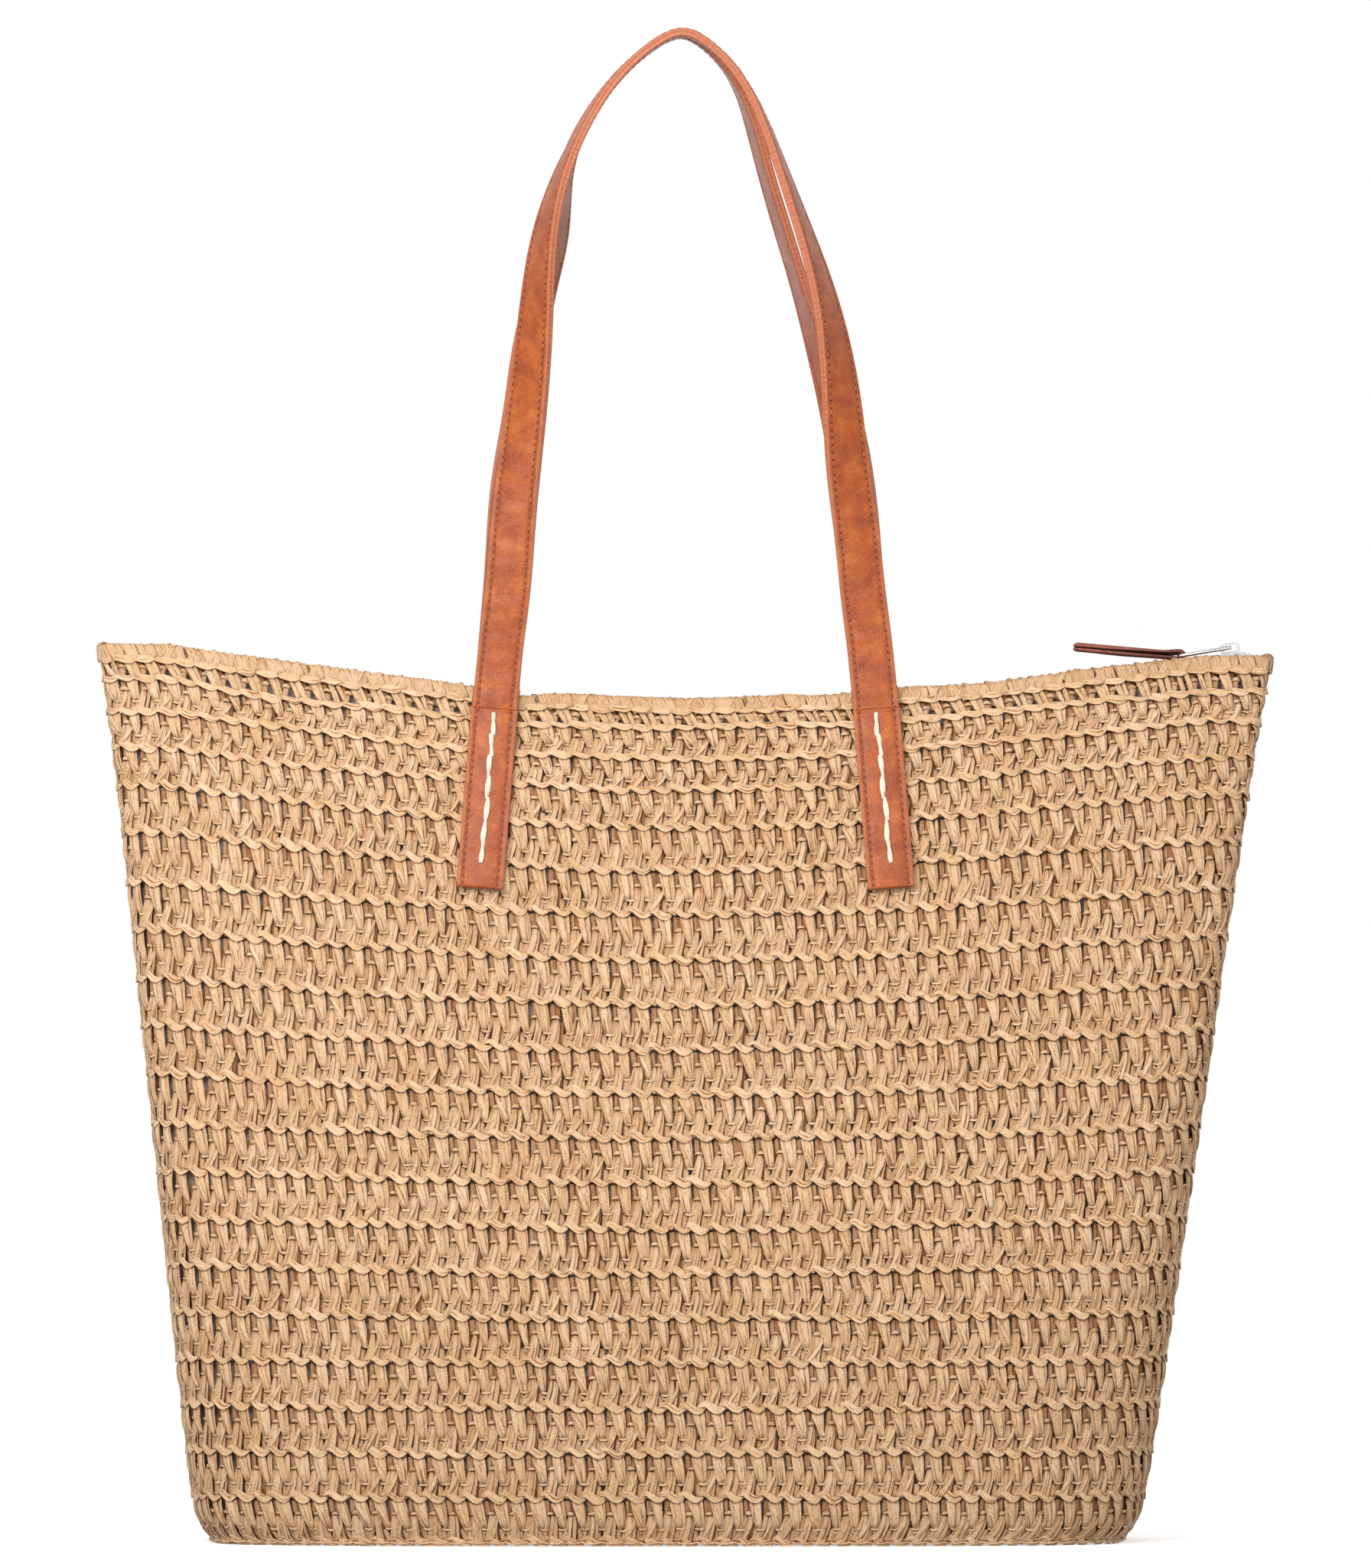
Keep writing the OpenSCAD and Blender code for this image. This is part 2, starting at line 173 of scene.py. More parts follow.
class Shell:
    """The outer surface, looked up by u, from 0 to 1 round the bag from the middle of its front, and t."""

    def __init__(self, rows=140, columns=1440):
        w = np.linspace(-1, 1, 500, endpoint=False)
        one = np.ones_like(w)
        loop = np.concatenate([np.stack(p, axis=1) for p in ((w, -one), (one, w), (-w, one), (-one, -w))])
        loop = np.roll(loop, -250, axis=0)
        self.t = np.linspace(0, 1, rows)
        self.columns = columns
        want = np.arange(columns) / columns
        grid = []
        for t in self.t:
            n = 4 + 4 * t * t
            reach = (np.abs(loop[:, 0]) ** n + np.abs(loop[:, 1]) ** n) ** (-1 / n)
            x = half_w(t) * loop[:, 0] * reach
            y = half_d(t) * loop[:, 1] * reach
            closed = np.stack([np.append(x, x[0]), np.append(y, y[0])], axis=1)
            along = lengths(closed)
            px, py = resample(want, along / along[-1], closed).T
            z = height_at(px, t) - rim_slack(px, py) * t**30
            grid.append(np.stack([px + BODY_LEAN * (1 - t), py, z], axis=1))
        self.p = np.array(grid)
        self.du = unit(np.roll(self.p, -1, axis=1) - np.roll(self.p, 1, axis=1))
        self.dt = unit(np.gradient(self.p, axis=0))
        self.n = unit(np.cross(self.du, self.dt))

    def look(self, table, u, t):
        a = (u % 1) * self.columns
        b = np.clip(t, 0, 1) * (len(self.t) - 1)
        a0 = np.floor(a).astype(int)
        b0 = np.minimum(np.floor(b).astype(int), len(self.t) - 2)
        fa = (a - a0)[..., None]
        fb = (b - b0)[..., None]
        a0 %= self.columns
        a1 = (a0 + 1) % self.columns
        low = table[b0, a0] * (1 - fa) + table[b0, a1] * fa
        high = table[b0 + 1, a0] * (1 - fa) + table[b0 + 1, a1] * fa
        return low * (1 - fb) + high * fb

    def wall(self, u, v, w):
        """Point and normal at stitch u, v mm below the rim and w mm outside the surface."""
        t = 1 - v / RIM_H
        n = unit(self.look(self.n, u / STITCHES, t))
        return self.look(self.p, u / STITCHES, t) + n * w[..., None], n

    def lip(self, u, s, w):
        """The same over the rim's rounded top: s runs up the outside, over the top and down the inside."""
        r = LIP_R
        u, s, w = np.broadcast_arrays(u, s, w)
        t0 = np.full(u.shape, 1 - r / RIM_H)
        p0 = self.look(self.p, u / STITCHES, t0)
        n0 = unit(self.look(self.n, u / STITCHES, t0))
        up = unit(self.look(self.dt, u / STITCHES, t0))
        rise = LIP_START - r
        angle = np.clip((s - rise) / r, 0, math.pi)[..., None]
        below = np.minimum(s - rise, 0)[..., None]
        beyond = np.maximum(s - rise - math.pi * r, 0)[..., None]
        out = n0 * np.cos(angle) + up * np.sin(angle)
        p = p0 - n0 * r + out * (r + w[..., None]) + up * (below - beyond)
        return p, out

    def sole(self, u, f, w):
        """The same under the base: f runs from 0 at its edge to 1 at its spine, and w points down."""
        u, f, w = np.broadcast_arrays(u, f, w)
        edge = self.look(self.p, u / STITCHES, np.full(u.shape, 0.006))
        spine = np.clip(edge[..., 0], BODY_LEAN - SPINE_HALF, BODY_LEAN + SPINE_HALF)
        x = spine + (edge[..., 0] - spine) * (1 - f)
        y = edge[..., 1] * (1 - f)
        down = np.zeros(u.shape + (3,))
        down[..., 2] = -1
        return np.stack([x, y, 1.4 - w], axis=-1), down


shell = Shell()


# ------------------------------------------------------------------ crochet
# Depths of the ridges between rounds below the rim: the first rounds are short, the rest alike
ROUND_H = 18.3
RIDGES = [6.0, 13.8, 26.0, 39.2, 54.4, 72.0]
while RIDGES[-1] + ROUND_H < RIM_H:
    RIDGES.append(RIDGES[-1] + ROUND_H)

# Places of a ribbon's points across its front and back, as shares of its width
WIDE = np.array([-0.5, -0.4, -0.22, -0.04, 0.14, 0.30, 0.43, 0.5])
MIDDLING = np.array([-0.5, -0.24, 0.05, 0.3, 0.5])
SLIM = np.array([-0.5, -0.2, 0.18, 0.5])
BACK = np.array([0.3, -0.3])
RIBBON_T = 0.45

# The strands of one stitch of a short round, and of a full one, from its ridge to the next. Rows are
# [stitches along, part of the way to the next ridge, mm below that, mm out, width]; plies are [along at
# the top, along at the foot, mm out, roll] of the folds that lie side by side in a post.
# A strand's tone shifts how deep it sits in the painted shade of the recesses; the strand itself stays where
# it is.
SHORT_STITCH = [
    {"rows": [[0.0, 0, 0.6, -0.6, 2.0], [0.22, 0.5, 0, 0.0, 2.5], [0.44, 1, 0, -0.3, 2.2]], "rings": 5,
     "plies": [[0.16, 0.12, -0.1, 0.2], [-0.16, -0.12, 0.1, -0.15]]},
    {"rows": [[0.50, 0.42, 0.5, -0.9, 1.2], [0.70, 0.42, -0.2, -0.4, 1.5], [0.90, 0.42, 0.6, -0.9, 1.2]],
     "rings": 5},
    {"rows": [[0.72, 0.5, 0, -1.0, 2.8], [0.60, 1, 0, -0.9, 3.4]], "rings": 4},
    {"rows": [[0.45, 0, 0, -2.0, 3.8], [0.6, 1, 0, -2.0, 3.8]], "rings": 3, "tone": -0.4},
]
FULL_STITCH = [
    # The post down from the loop and a strand that crosses it
    {"rows": [[0.02, 0, 0.5, -0.75, 1.9], [0.10, 0.17, 0, 0.0, 2.6], [0.21, 0.42, 0, 0.2, 2.4],
              [0.32, 0.67, 0, -0.5, 1.5]], "rings": 7,
     "plies": [[0.20, 0.07, -0.15, 0.25], [-0.18, -0.08, -0.05, -0.25], [0.0, 0.0, 0.22, 0.0]]},
    {"rows": [[-0.16, 0.10, 0, -0.4, 1.1], [0.02, 0.27, 0, 0.5, 1.7], [0.24, 0.48, 0, 0.55, 1.6],
              [0.36, 0.63, 0, -0.3, 1.0]], "rings": 7, "share": 0.45, "lean": 0.10,
     "crease": 0.2, "curl": 0.2},
    # The bar across its foot, the cup below that, and the bar over the next post
    {"rows": [[0.12, 0.655, 0.0, -0.5, 0.7], [0.22, 0.655, 0.35, 0.0, 0.8], [0.36, 0.655, 0.5, 0.15, 0.85],
              [0.50, 0.655, 0.3, 0.0, 0.8], [0.60, 0.655, -0.1, -0.5, 0.7]], "rings": 7, "lean": 0.03,
     "crease": 0.08, "curl": 0.12, "tone": 0.4},
    {"rows": [[0.15, 0.67, 0.3, -0.9, 0.9], [0.27, 0.69, 0.9, -0.6, 1.1], [0.36, 0.69, 1.4, -0.5, 1.2],
              [0.45, 0.69, 0.9, -0.6, 1.1], [0.57, 0.67, 0.3, -0.9, 0.9]], "rings": 6, "share": 0.45,
     "crease": 0.1, "tone": -0.3},
    {"rows": [[0.52, 0.335, 0.35, -0.9, 0.8], [0.62, 0.325, 0.0, -0.25, 1.2],
              [0.74, 0.320, -0.1, -0.05, 1.35],
              [0.86, 0.325, 0.0, -0.25, 1.2], [0.95, 0.335, 0.35, -0.9, 0.8]], "rings": 7, "crease": 0.22,
     "curl": 0.2, "tone": 0.1},
    # The post that fans out onto the next ridge and a strand that crosses it
    {"rows": [[0.76, 0.35, 0.2, -0.9, 1.6], [0.75, 0.53, 0, -0.25, 2.2], [0.66, 0.74, 0, -0.2, 2.1],
              [0.54, 0.92, 0, -0.25, 2.5], [0.50, 1, -0.5, -0.4, 2.7]], "rings": 8,
     "plies": [[0.10, 0.27, -0.2, 0.25], [-0.12, -0.27, -0.15, -0.25], [0.0, 0.0, 0.12, 0.0]]},
    {"rows": [[1.02, 0.40, 0, -0.6, 1.0], [0.87, 0.60, 0, 0.1, 1.6], [0.63, 0.81, 0, 0.2, 1.6],
              [0.45, 0.94, 0, -0.3, 1.5]], "rings": 6, "share": 0.4, "lean": 0.10,
     "crease": 0.2, "curl": 0.2},
    # Strands at the back, which close all but the small holes between the posts
    {"rows": [[0.58, 0, 0.4, -1.7, 2.2], [0.62, 0.36, 0, -1.4, 2.4]], "rings": 4, "tone": -0.2},
    {"rows": [[0.86, 0, 0.4, -2.0, 3.3], [0.83, 0.42, 0, -1.8, 3.3]], "rings": 3, "tone": -0.4},
    {"rows": [[0.50, 0.24, 0.4, -2.4, 2.2], [0.46, 0.66, 0, -2.1, 2.8]], "rings": 3, "tone": -0.5},
    {"rows": [[0.14, 0.655, 0.3, -1.2, 2.3], [0.13, 0.82, 0, -0.85, 2.4], [0.10, 1, 0, -0.9, 2.1]],
     "rings": 5,
     "crease": 0.24, "tone": -0.1},
    {"rows": [[1.0, 0.40, 0, -1.9, 3.1], [0.95, 1, 0, -1.9, 2.8]], "rings": 3, "tone": -0.4},
    {"rows": [[0.42, 0.80, 0, -2.9, 2.2], [0.36, 1, 0, -2.7, 2.4]], "rings": 3, "share": 0.6, "tone": -0.4},
]


# ------------------------------------------------------------------ ribbons of paper straw
def smooth_path(rows, rings):
    """A smooth curve through rows of numbers, as rings rows."""
    rows = np.asarray(rows, dtype=float)
    slope = np.gradient(rows, axis=0)
    at = np.linspace(0, len(rows) - 1, rings)
    k = np.minimum(at.astype(int), len(rows) - 2)
    f = (at - k)[:, None]
    a, b, da, db = rows[k], rows[k + 1], slope[k], slope[k + 1]
    start = a * (1 + 2 * f) * (1 - f) ** 2 + da * f * (1 - f) ** 2
    return start + b * f * f * (3 - 2 * f) + db * f * f * (f - 1)


class Straw:
    """Collects flat ribbons and makes one mesh of them."""

    def __init__(self):
        self.parts = []

    def add(self, place, u, v, w, width, front=WIDE, crease=0.3, curl=0.4, roll=0.0, tone=0.0):
        """u, v, w and width are (ribbons, rings) arrays along each ribbon's middle."""
        u, v, w, width = np.broadcast_arrays(*(np.asarray(a, dtype=float) for a in (u, v, w, width)))
        count, rings = u.shape
        profile = np.concatenate([front, BACK])
        ring = len(profile)
        centre, normal = place(u, v, w)
        along = unit(np.gradient(centre, axis=1))
        across = unit(np.cross(normal, along))
        lift = unit(np.cross(along, across))
        turn = np.broadcast_to(np.asarray(roll, dtype=float), (count, rings))[..., None]
        side = across * np.cos(turn) + lift * np.sin(turn)
        rise = lift * np.cos(turn) - across * np.sin(turn)
        q = np.linspace(-0.5, 0.5, rings)[None, :, None]
        top = np.zeros((count, rings, len(front)))
        for _ in range(2):
            at = random.uniform(-0.36, 0.36, (count, 1, 1)) + random.normal(0, 0.16, (count, 1, 1)) * q
            deep = crease * random.uniform(0.3, 1.3, (count, 1, 1))
            top -= deep * np.exp(-(((front[None, None] - at) / 0.10) ** 2))
        top += 0.35 * crease * np.sign(random.uniform(-1, 1, (count, 1, 1))) * front[None, None] * 2
        top -= curl * ((2 * front) ** 2)[None, None] * np.minimum(width[..., None] / 3.5, 1.2)
        low = np.repeat(top.min(axis=2, keepdims=True), len(BACK), axis=2) - RIBBON_T
        height = np.concatenate([top, low], axis=2)
        offset = width[..., None] * profile
        points = centre[:, :, None] + side[:, :, None] * offset[..., None]
        points = points + rise[:, :, None] * height[..., None]
        step = np.linalg.norm(np.diff(centre, axis=1), axis=-1)
        length = np.concatenate([np.zeros((count, 1)), np.cumsum(step, axis=1)], axis=1)
        name = np.broadcast_to(random.uniform(0, 1, (count, 1, 1)), offset.shape)
        fibre = np.stack([offset, np.broadcast_to(length[..., None], offset.shape), name], axis=-1)
        # The depth below the surface, moved by tone, is stored as the rise attribute and sets the painted
        # shade of the recesses in the straw material.
        deep = np.broadcast_to((w + tone)[..., None], offset.shape)
        self.parts.append((points, fibre, deep, count, rings, ring))

    def build(self, name):
        faces, first = [], 0
        for _, _, _, count, rings, ring in self.parts:
            faces += [f + first for f in tube_faces(count, rings, ring)]
            first += count * rings * ring
        return make_mesh(name, np.concatenate([p[0].reshape(-1, 3) for p in self.parts]), faces, {
            "fibre": np.concatenate([p[1].reshape(-1, 3) for p in self.parts]),
            "rise": np.concatenate([p[2].reshape(-1) for p in self.parts])})


def vary(amount, count=STITCHES):
    return random.normal(0, amount, (count, 1))


WAVES = [[(random.uniform(0, 2 * math.pi), n, random.normal(0, 1) / n**0.5) for n in (3, 5, 8, 13, 21)]
         for _ in range(len(RIDGES) + 1)]


def ridge_at(k, u):
    """Depth of ridge k below the rim at stitch u, in mm: no round of hand crochet is quite level."""
    swing = 0.75 if k in (1, 2, 3) else 0.5
    if k >= len(RIDGES) - 2 or k == 0:
        swing = 0.15
    wave = sum(a * np.sin(2 * math.pi * n * u / STITCHES + p) for p, n, a in WAVES[k])
    return RIDGES[k] + swing * wave


def stitches(straw, k, u0, rows, rings, shift=0.03, fat=0.10, lean=0.03, share=1.0, roll=0.0, **look):
    """One ribbon in each stitch, or in a share of them."""
    u0 = u0[random.uniform(0, 1, len(u0)) < share]
    n = len(u0)
    q = np.linspace(-0.5, 0.5, rings)[None]
    u, f, mm, w, width = smooth_path(rows, rings).T
    u = u0 + u + vary(shift, n) + vary(lean, n) * q
    below = ridge_at(k + 1, u) if k + 1 < len(RIDGES) else RIM_H
    v = ridge_at(k, u) * (1 - f) + below * f + mm + vary(0.16, n)
    straw.add(shell.wall, u, v, w + vary(0.12, n), width * (1 + vary(fat, n)), roll=roll + vary(0.10, n),
              **look)


def ridge_loops(straw, k, u0, peak, out=0.0):
    """The chain that tops a round: each loop starts thin, humps over a post's fan, dips, and tucks away."""
    rows = [[-0.98, 0, -0.8, -1.3, 0.6], [-0.76, 0, -0.25 - 0.55 * peak, -0.45, 1.7],
            [-0.50, 0, 0.1 - 0.85 * peak, 0.05, 2.5], [-0.22, 0, 0.35 - 0.40 * peak, 0.40, 3.0],
            [0.04, 0, 0.4, 0.55, 3.1], [0.26, 0, -0.05, 0.15, 2.1], [0.46, 0, -0.8, -0.9, 0.5]]
    for row in rows:
        row[3] += out
    stitches(straw, k, u0, rows, 11, shift=0.04, fat=0.13, lean=0.05, crease=0.42, curl=0.16, roll=-0.16,
             tone=0.5)


def folds(straw, k, u0, rows, rings, plies):
    """A post as the folds of one strand, lying side by side."""
    for top, foot, out, roll in plies:
        moved = [[u + top + (foot - top) * i / (len(rows) - 1), f, mm, w + out, width]
                 for i, (u, f, mm, w, width) in enumerate(rows)]
        stitches(straw, k, u0, moved, rings, shift=0.035, lean=0.06, fat=0.16, front=MIDDLING, crease=0.34,
                 curl=0.2, roll=roll)


def crochet_round(straw, k, drift):
    """One round of stitches from ridge k to the next, hanging on ridge k's loops."""
    h = RIDGES[k + 1] - RIDGES[k]
    s = min(h / ROUND_H, 1.0)
    u0 = np.arange(STITCHES)[:, None] + drift + vary(0.03)
    ridge_loops(straw, k, u0, max(6.7 * (s - 0.55), 0.2), 0.25 if k in (1, 2) else 0.0)
    for strand in SHORT_STITCH if h < 0.5 * ROUND_H else FULL_STITCH:
        if "plies" in strand:
            folds(straw, k, u0, **strand)
        else:
            stitches(straw, k, u0, front=SLIM, **strand)


def rim_edging(straw):
    """The edging: flat slanted wraps over the rim's top, closely laid, and the first chain below them."""
    u0 = np.arange(STITCHES)[:, None] + vary(0.03)
    q = np.linspace(0, 1, 13)[None]
    over = 6.4 + math.pi * LIP_R + 7.5
    for shift, slope, wide, out in ((0.0, -0.9, 5.4, 0.0), (0.5, -0.7, 5.2, -0.15), (0.25, 0.9, 2.4, 0.05)):
        u = u0 + shift + (slope + vary(0.15)) * (q - 0.3) + vary(0.07)
        w = out - 0.1 + 0.08 * np.sin(9 * q) + vary(0.06)
        straw.add(shell.lip, u, 1.2 + (over - 1.2) * q, w, wide * (1 + vary(0.15)), crease=0.3, curl=0.12,
                  tone=-0.3)
    q = np.linspace(0, 1, 7)[None]
    hump = np.sin(math.pi * q)
    straw.add(shell.lip, u0 - 0.62 + 1.24 * q, LIP_START + LIP_R * 1.3 + 0.25 * hump + vary(0.2),
              -0.3 + 0.5 * hump + vary(0.1), 1.9 * (1 + vary(0.2)), front=SLIM, crease=0.2, tone=0.5)


def straw_shell(material):
    straw = Straw()
    rim_edging(straw)
    finish_piece(straw.build("rim_edging"), "bag", "straw", material, "straw_rim")
    drift = 0.0
    for k in range(len(RIDGES) - 1):
        straw = Straw()
        crochet_round(straw, k, drift)
        finish_piece(straw.build(f"straw_round_{k + 1:02d}"), "bag", "straw", material, "straw_body")
        drift += random.normal(0.0, 0.05)

    straw = Straw()
    u0 = np.arange(STITCHES)[:, None] + drift + vary(0.03)
    ridge_loops(straw, len(RIDGES) - 1, u0, 2.6)
    rounds = 8
    for k in range(rounds):
        near, far = k / rounds, (k + 1) / rounds - 0.01
        count = STITCHES - 6 * k
        u0 = (np.arange(count) * STITCHES / count)[:, None] + vary(0.03, count)
        q = np.linspace(0, 1, 5)[None]
        f = near + (far - near) * q
        straw.add(shell.sole, u0 + 0.3 * q, f, -0.1 + 0.3 * np.sin(math.pi * q), 4.2, front=SLIM)
        straw.add(shell.sole, u0 + 0.5 + 0.3 * q, f, -0.6, 4.6, front=SLIM, tone=-0.6)
        q = np.linspace(0, 1, 6)[None]
        hump = np.sin(math.pi * q)
        straw.add(shell.sole, u0 - 0.55 + 1.1 * q, near + 0.012 * hump, 0.1 + 0.7 * hump, 1.6 + 1.4 * hump,
                  front=SLIM, curl=0.3, tone=0.4)
    finish_piece(straw.build("straw_sole"), "bag", "straw", material, "straw_base")


# ------------------------------------------------------------------ lining
def lining(material):
    columns, top, foot = 360, 0.972, 0.02
    u = np.arange(columns) / columns * STITCHES
    ts = np.linspace(top, foot, 70)
    turn = u / STITCHES * 2 * math.pi
    slack = 0.5 * np.sin(turn * 11 + 1.0) + 0.35 * np.sin(turn * 23)
    rings = []
    for inset, order in ((LINING_INSET, ts), (LINING_INSET + 0.7, ts[::-1])):
        for t in order:
            flat = np.full(columns, t)
            p = shell.look(shell.p, u / STITCHES, flat)
            n = unit(shell.look(shell.n, u / STITCHES, flat))
            soft = math.sin(math.pi * (t - foot) / (top - foot))
            rings.append(p - n * (inset + 0.5 + 0.5 * soft * slack)[:, None])
    verts = np.concatenate(rings)
    faces = tube_faces(1, len(rings), columns, closed=True)
    weave = np.stack([np.tile(u * 8.5, len(rings)), verts[:, 2], np.zeros(len(verts))], axis=1)
    walls = make_mesh("lining_cloth", verts, faces, {"weave": weave})
    finish_piece(walls, "bag", "lining", material, "lining_walls")

    edge = shell.look(shell.p, u / STITCHES, np.full(columns, 0.02))
    rings = []
    for z, order in ((6.6, range(0, 24)), (5.6, range(23, -1, -1))):
        for k in order:
            f = 0.075 + 0.92 * k / 23
            spine = np.clip(edge[:, 0], BODY_LEAN - SPINE_HALF, BODY_LEAN + SPINE_HALF)
            x = spine + (edge[:, 0] - spine) * (1 - f)
            y = edge[:, 1] * (1 - f)
            rings.append(np.stack([x, y, z + 0.25 * np.sin(x / 17) * np.cos(y / 13)], axis=1))
    verts = np.concatenate(rings)
    floor = make_mesh("lining_floor", verts, tube_faces(1, len(rings), columns, closed=True),
                      {"weave": np.stack([verts[:, 0], verts[:, 1], verts[:, 2]], axis=1)})
    finish_piece(floor, "bag", "lining", material, "lining_base")


# ------------------------------------------------------------------ straps
def bump(h, at, width):
    return np.exp(-(((h - at) / width) ** 2))


def rises(h, rows):
    return sum(a * bump(h, at, width) for a, at, width in rows)


# How each strap hangs, as in the CAD: the rises of its left and right leg, its sway and its legs' turning
FRONT_HANG = {"left": [(-1.1, 228, 25)], "right": [(0.9, 115, 35), (-1.6, 182, 28), (-1.1, 228, 25)],
              "sway": 5.3,
              "turn_left": [(14, 100, 50)], "turn_right": [(-14, 100, 50)]}
BACK_HANG = {"left": [(-6.6, 81, 26), (1.3, 135, 22), (2, 185, 30)],
             "right": [(-5.4, 76, 52), (-3.4, 118, 32), (-1.1, 228, 25)], "sway": 7.2,
             "turn_left": [], "turn_right": [(20, 35, 20), (-36, 112, 32)]}


def arch_points(s, hang):
    """The middle of a strap's arch; s runs from -1 at the left fold to 1 at the right fold."""
    depth = APEX_H - FOLD_H
    h = depth * s * s
    crown = 19 - 12 * np.exp(-h / 10)
    half = np.sqrt(2 * crown * h / (1 + h / 386)) + 2.2 * bump(h, 85, 45)
    half = half + np.where(s < 0, rises(h, hang["left"]), rises(h, hang["right"]))
    x = np.sign(s) * half - hang["sway"] * bump(h, 62, 52)
    y = -10 - 6.5 * h / depth
    return np.stack([x, y, APEX_H - h], axis=-1)


def panel_frame(side):
    """Place and axes of a tab: origin at its top inner face, then across, outwards and up."""
    a, b = TAB_TILT, TAB_LEAN * side
    tilt = np.array([[1, 0, 0], [0, math.cos(a), math.sin(a)], [0, -math.sin(a), math.cos(a)]])
    lean = np.array([[math.cos(b), 0, -math.sin(b)], [0, 1, 0], [math.sin(b), 0, math.cos(b)]])
    axes = tilt @ lean
    origin = np.array([side * TAB_TOP[0], TAB_TOP[1], TAB_TOP[2]])
    return origin, axes[:, 0], -axes[:, 1], axes[:, 2]


def smooth_rows(values, passes):
    for _ in range(passes):
        values[1:-1] = 0.25 * values[:-2] + 0.5 * values[1:-1] + 0.25 * values[2:]
    return values


SEAM_AT = TAB_LEN - 9.0
TAB_HALF = 9.6
TAB_WIDEN = TAB_HALF * 2 / STRAP_W - 1
STITCH_IN = 2.3
STITCH_PITCH = 3.0


def strap_route(hang):
    """Middle, across and outward vectors of the whole strap from its left end to its right end."""
    depth = APEX_H - FOLD_H
    s = np.linspace(-1, 1, 900)
    p = arch_points(s, hang)
    tangent = unit(np.gradient(p, axis=0))
    h = depth * s * s
    late = np.where(s < 0, rises(h, hang["turn_left"]), rises(h, hang["turn_right"]))
    v = np.clip(1 - (h + late) / depth, 0, 1)
    turn = math.pi / 2 * v * v * (3 - 2 * v)
    inward = unit(np.cross(np.array([0, 1.0, 0]), tangent))
    across = unit(np.cos(turn)[:, None] * inward + np.sin(turn)[:, None] * np.array([0, -1.0, 0]))
    out = unit(np.cross(across, tangent))
    rows = [np.concatenate([p, across, out], axis=1)[12:-12]]
    down = np.linspace(TAB_LEN, 5.0, 120)[:, None]
    for side, flip in ((-1, 1), (1, -1)):
        origin, x_axis, outward, up = panel_frame(side)
        middle = origin + outward * (LAYER_T + 0.1) - up * down
        axes = np.tile(np.concatenate([x_axis * flip, outward]), (len(middle), 1))
        tab = np.concatenate([middle, axes], axis=1)
        rows = [tab] + rows if side < 0 else rows + [tab[::-1]]
    rows = np.concatenate(rows)
    along = lengths(rows[:, :3])
    fine = np.linspace(0, along[-1], int(along[-1] / 0.7))
    rows = smooth_rows(resample(fine, along, rows), 40)
    total = fine[-1]
    ends = np.concatenate([[0, 0.25, 0.6, 1.1], SEAM_AT + np.array([-1.2, -0.5, -0.15, 0.1, 0.3, 0.6, 1.2]),
                           TAB_LEN + np.array([-0.8, -0.2, 0.3, 0.9])])
    middle = np.arange(2.2, total - 2.2, 1.55)
    close = np.abs(middle[:, None] - np.concatenate([ends, total - ends])[None]).min(axis=1) < 0.5
    at = np.sort(np.concatenate([ends, total - ends, middle[~close]]))
    rows = resample(at, fine, rows)
    p = rows[:, :3]
    tangent = unit(np.gradient(p, at, axis=0))
    across = rows[:, 3:6]
    across = unit(across - tangent * (across * tangent).sum(axis=1, keepdims=True))
    out = unit(np.cross(across, tangent))
    return p, across, out, at


def lap_rise(end):
    """How far a strap's face is lifted where it laps over its tab, at a distance from the strap's end."""
    return np.interp(end, [SEAM_AT - 0.15, SEAM_AT + 0.3, SEAM_AT + 9, SEAM_AT + 22], [0, 0.55, 0.5, 0.0])


def strap_section():
    """Outline of a strap's section: one edge, the face, the other edge and the backing, in mm."""
    w, th = STRAP_W / 2, LAYER_T
    groove = w - STITCH_IN
    xs = [w - 0.35, w - 0.9, groove + 0.5, groove + 0.2, groove - 0.2, groove - 0.5,
          groove - 1.5, 4.2, 1.8, 0]
    xs = np.array(xs + [-x for x in xs[-2::-1]])
    dip = 0.26 * np.exp(-(((np.abs(xs) - groove) / 0.42) ** 2))
    rolled = -0.18 * np.clip((np.abs(xs) - groove - 0.4) / (w - groove), 0, 1) ** 2
    crown = 0.20 * np.clip(1 - (np.abs(xs) / groove) ** 2, 0, 1)
    front = np.stack([xs, th + crown - dip + rolled], axis=1)
    right = np.array([[w - 0.08, th - 0.32], [w, th - 0.7], [w, 0.22],
                      [w - 0.2, 0.0], [w, -0.22], [w, 0.7 - th],
                      [w - 0.08, 0.32 - th]])
    back = np.stack([xs, -th - 0.5 * crown + dip - rolled], axis=1)
    left = right[::-1] * [-1, 1]
    return np.concatenate([right[::-1], front, left[::-1], back[::-1]])


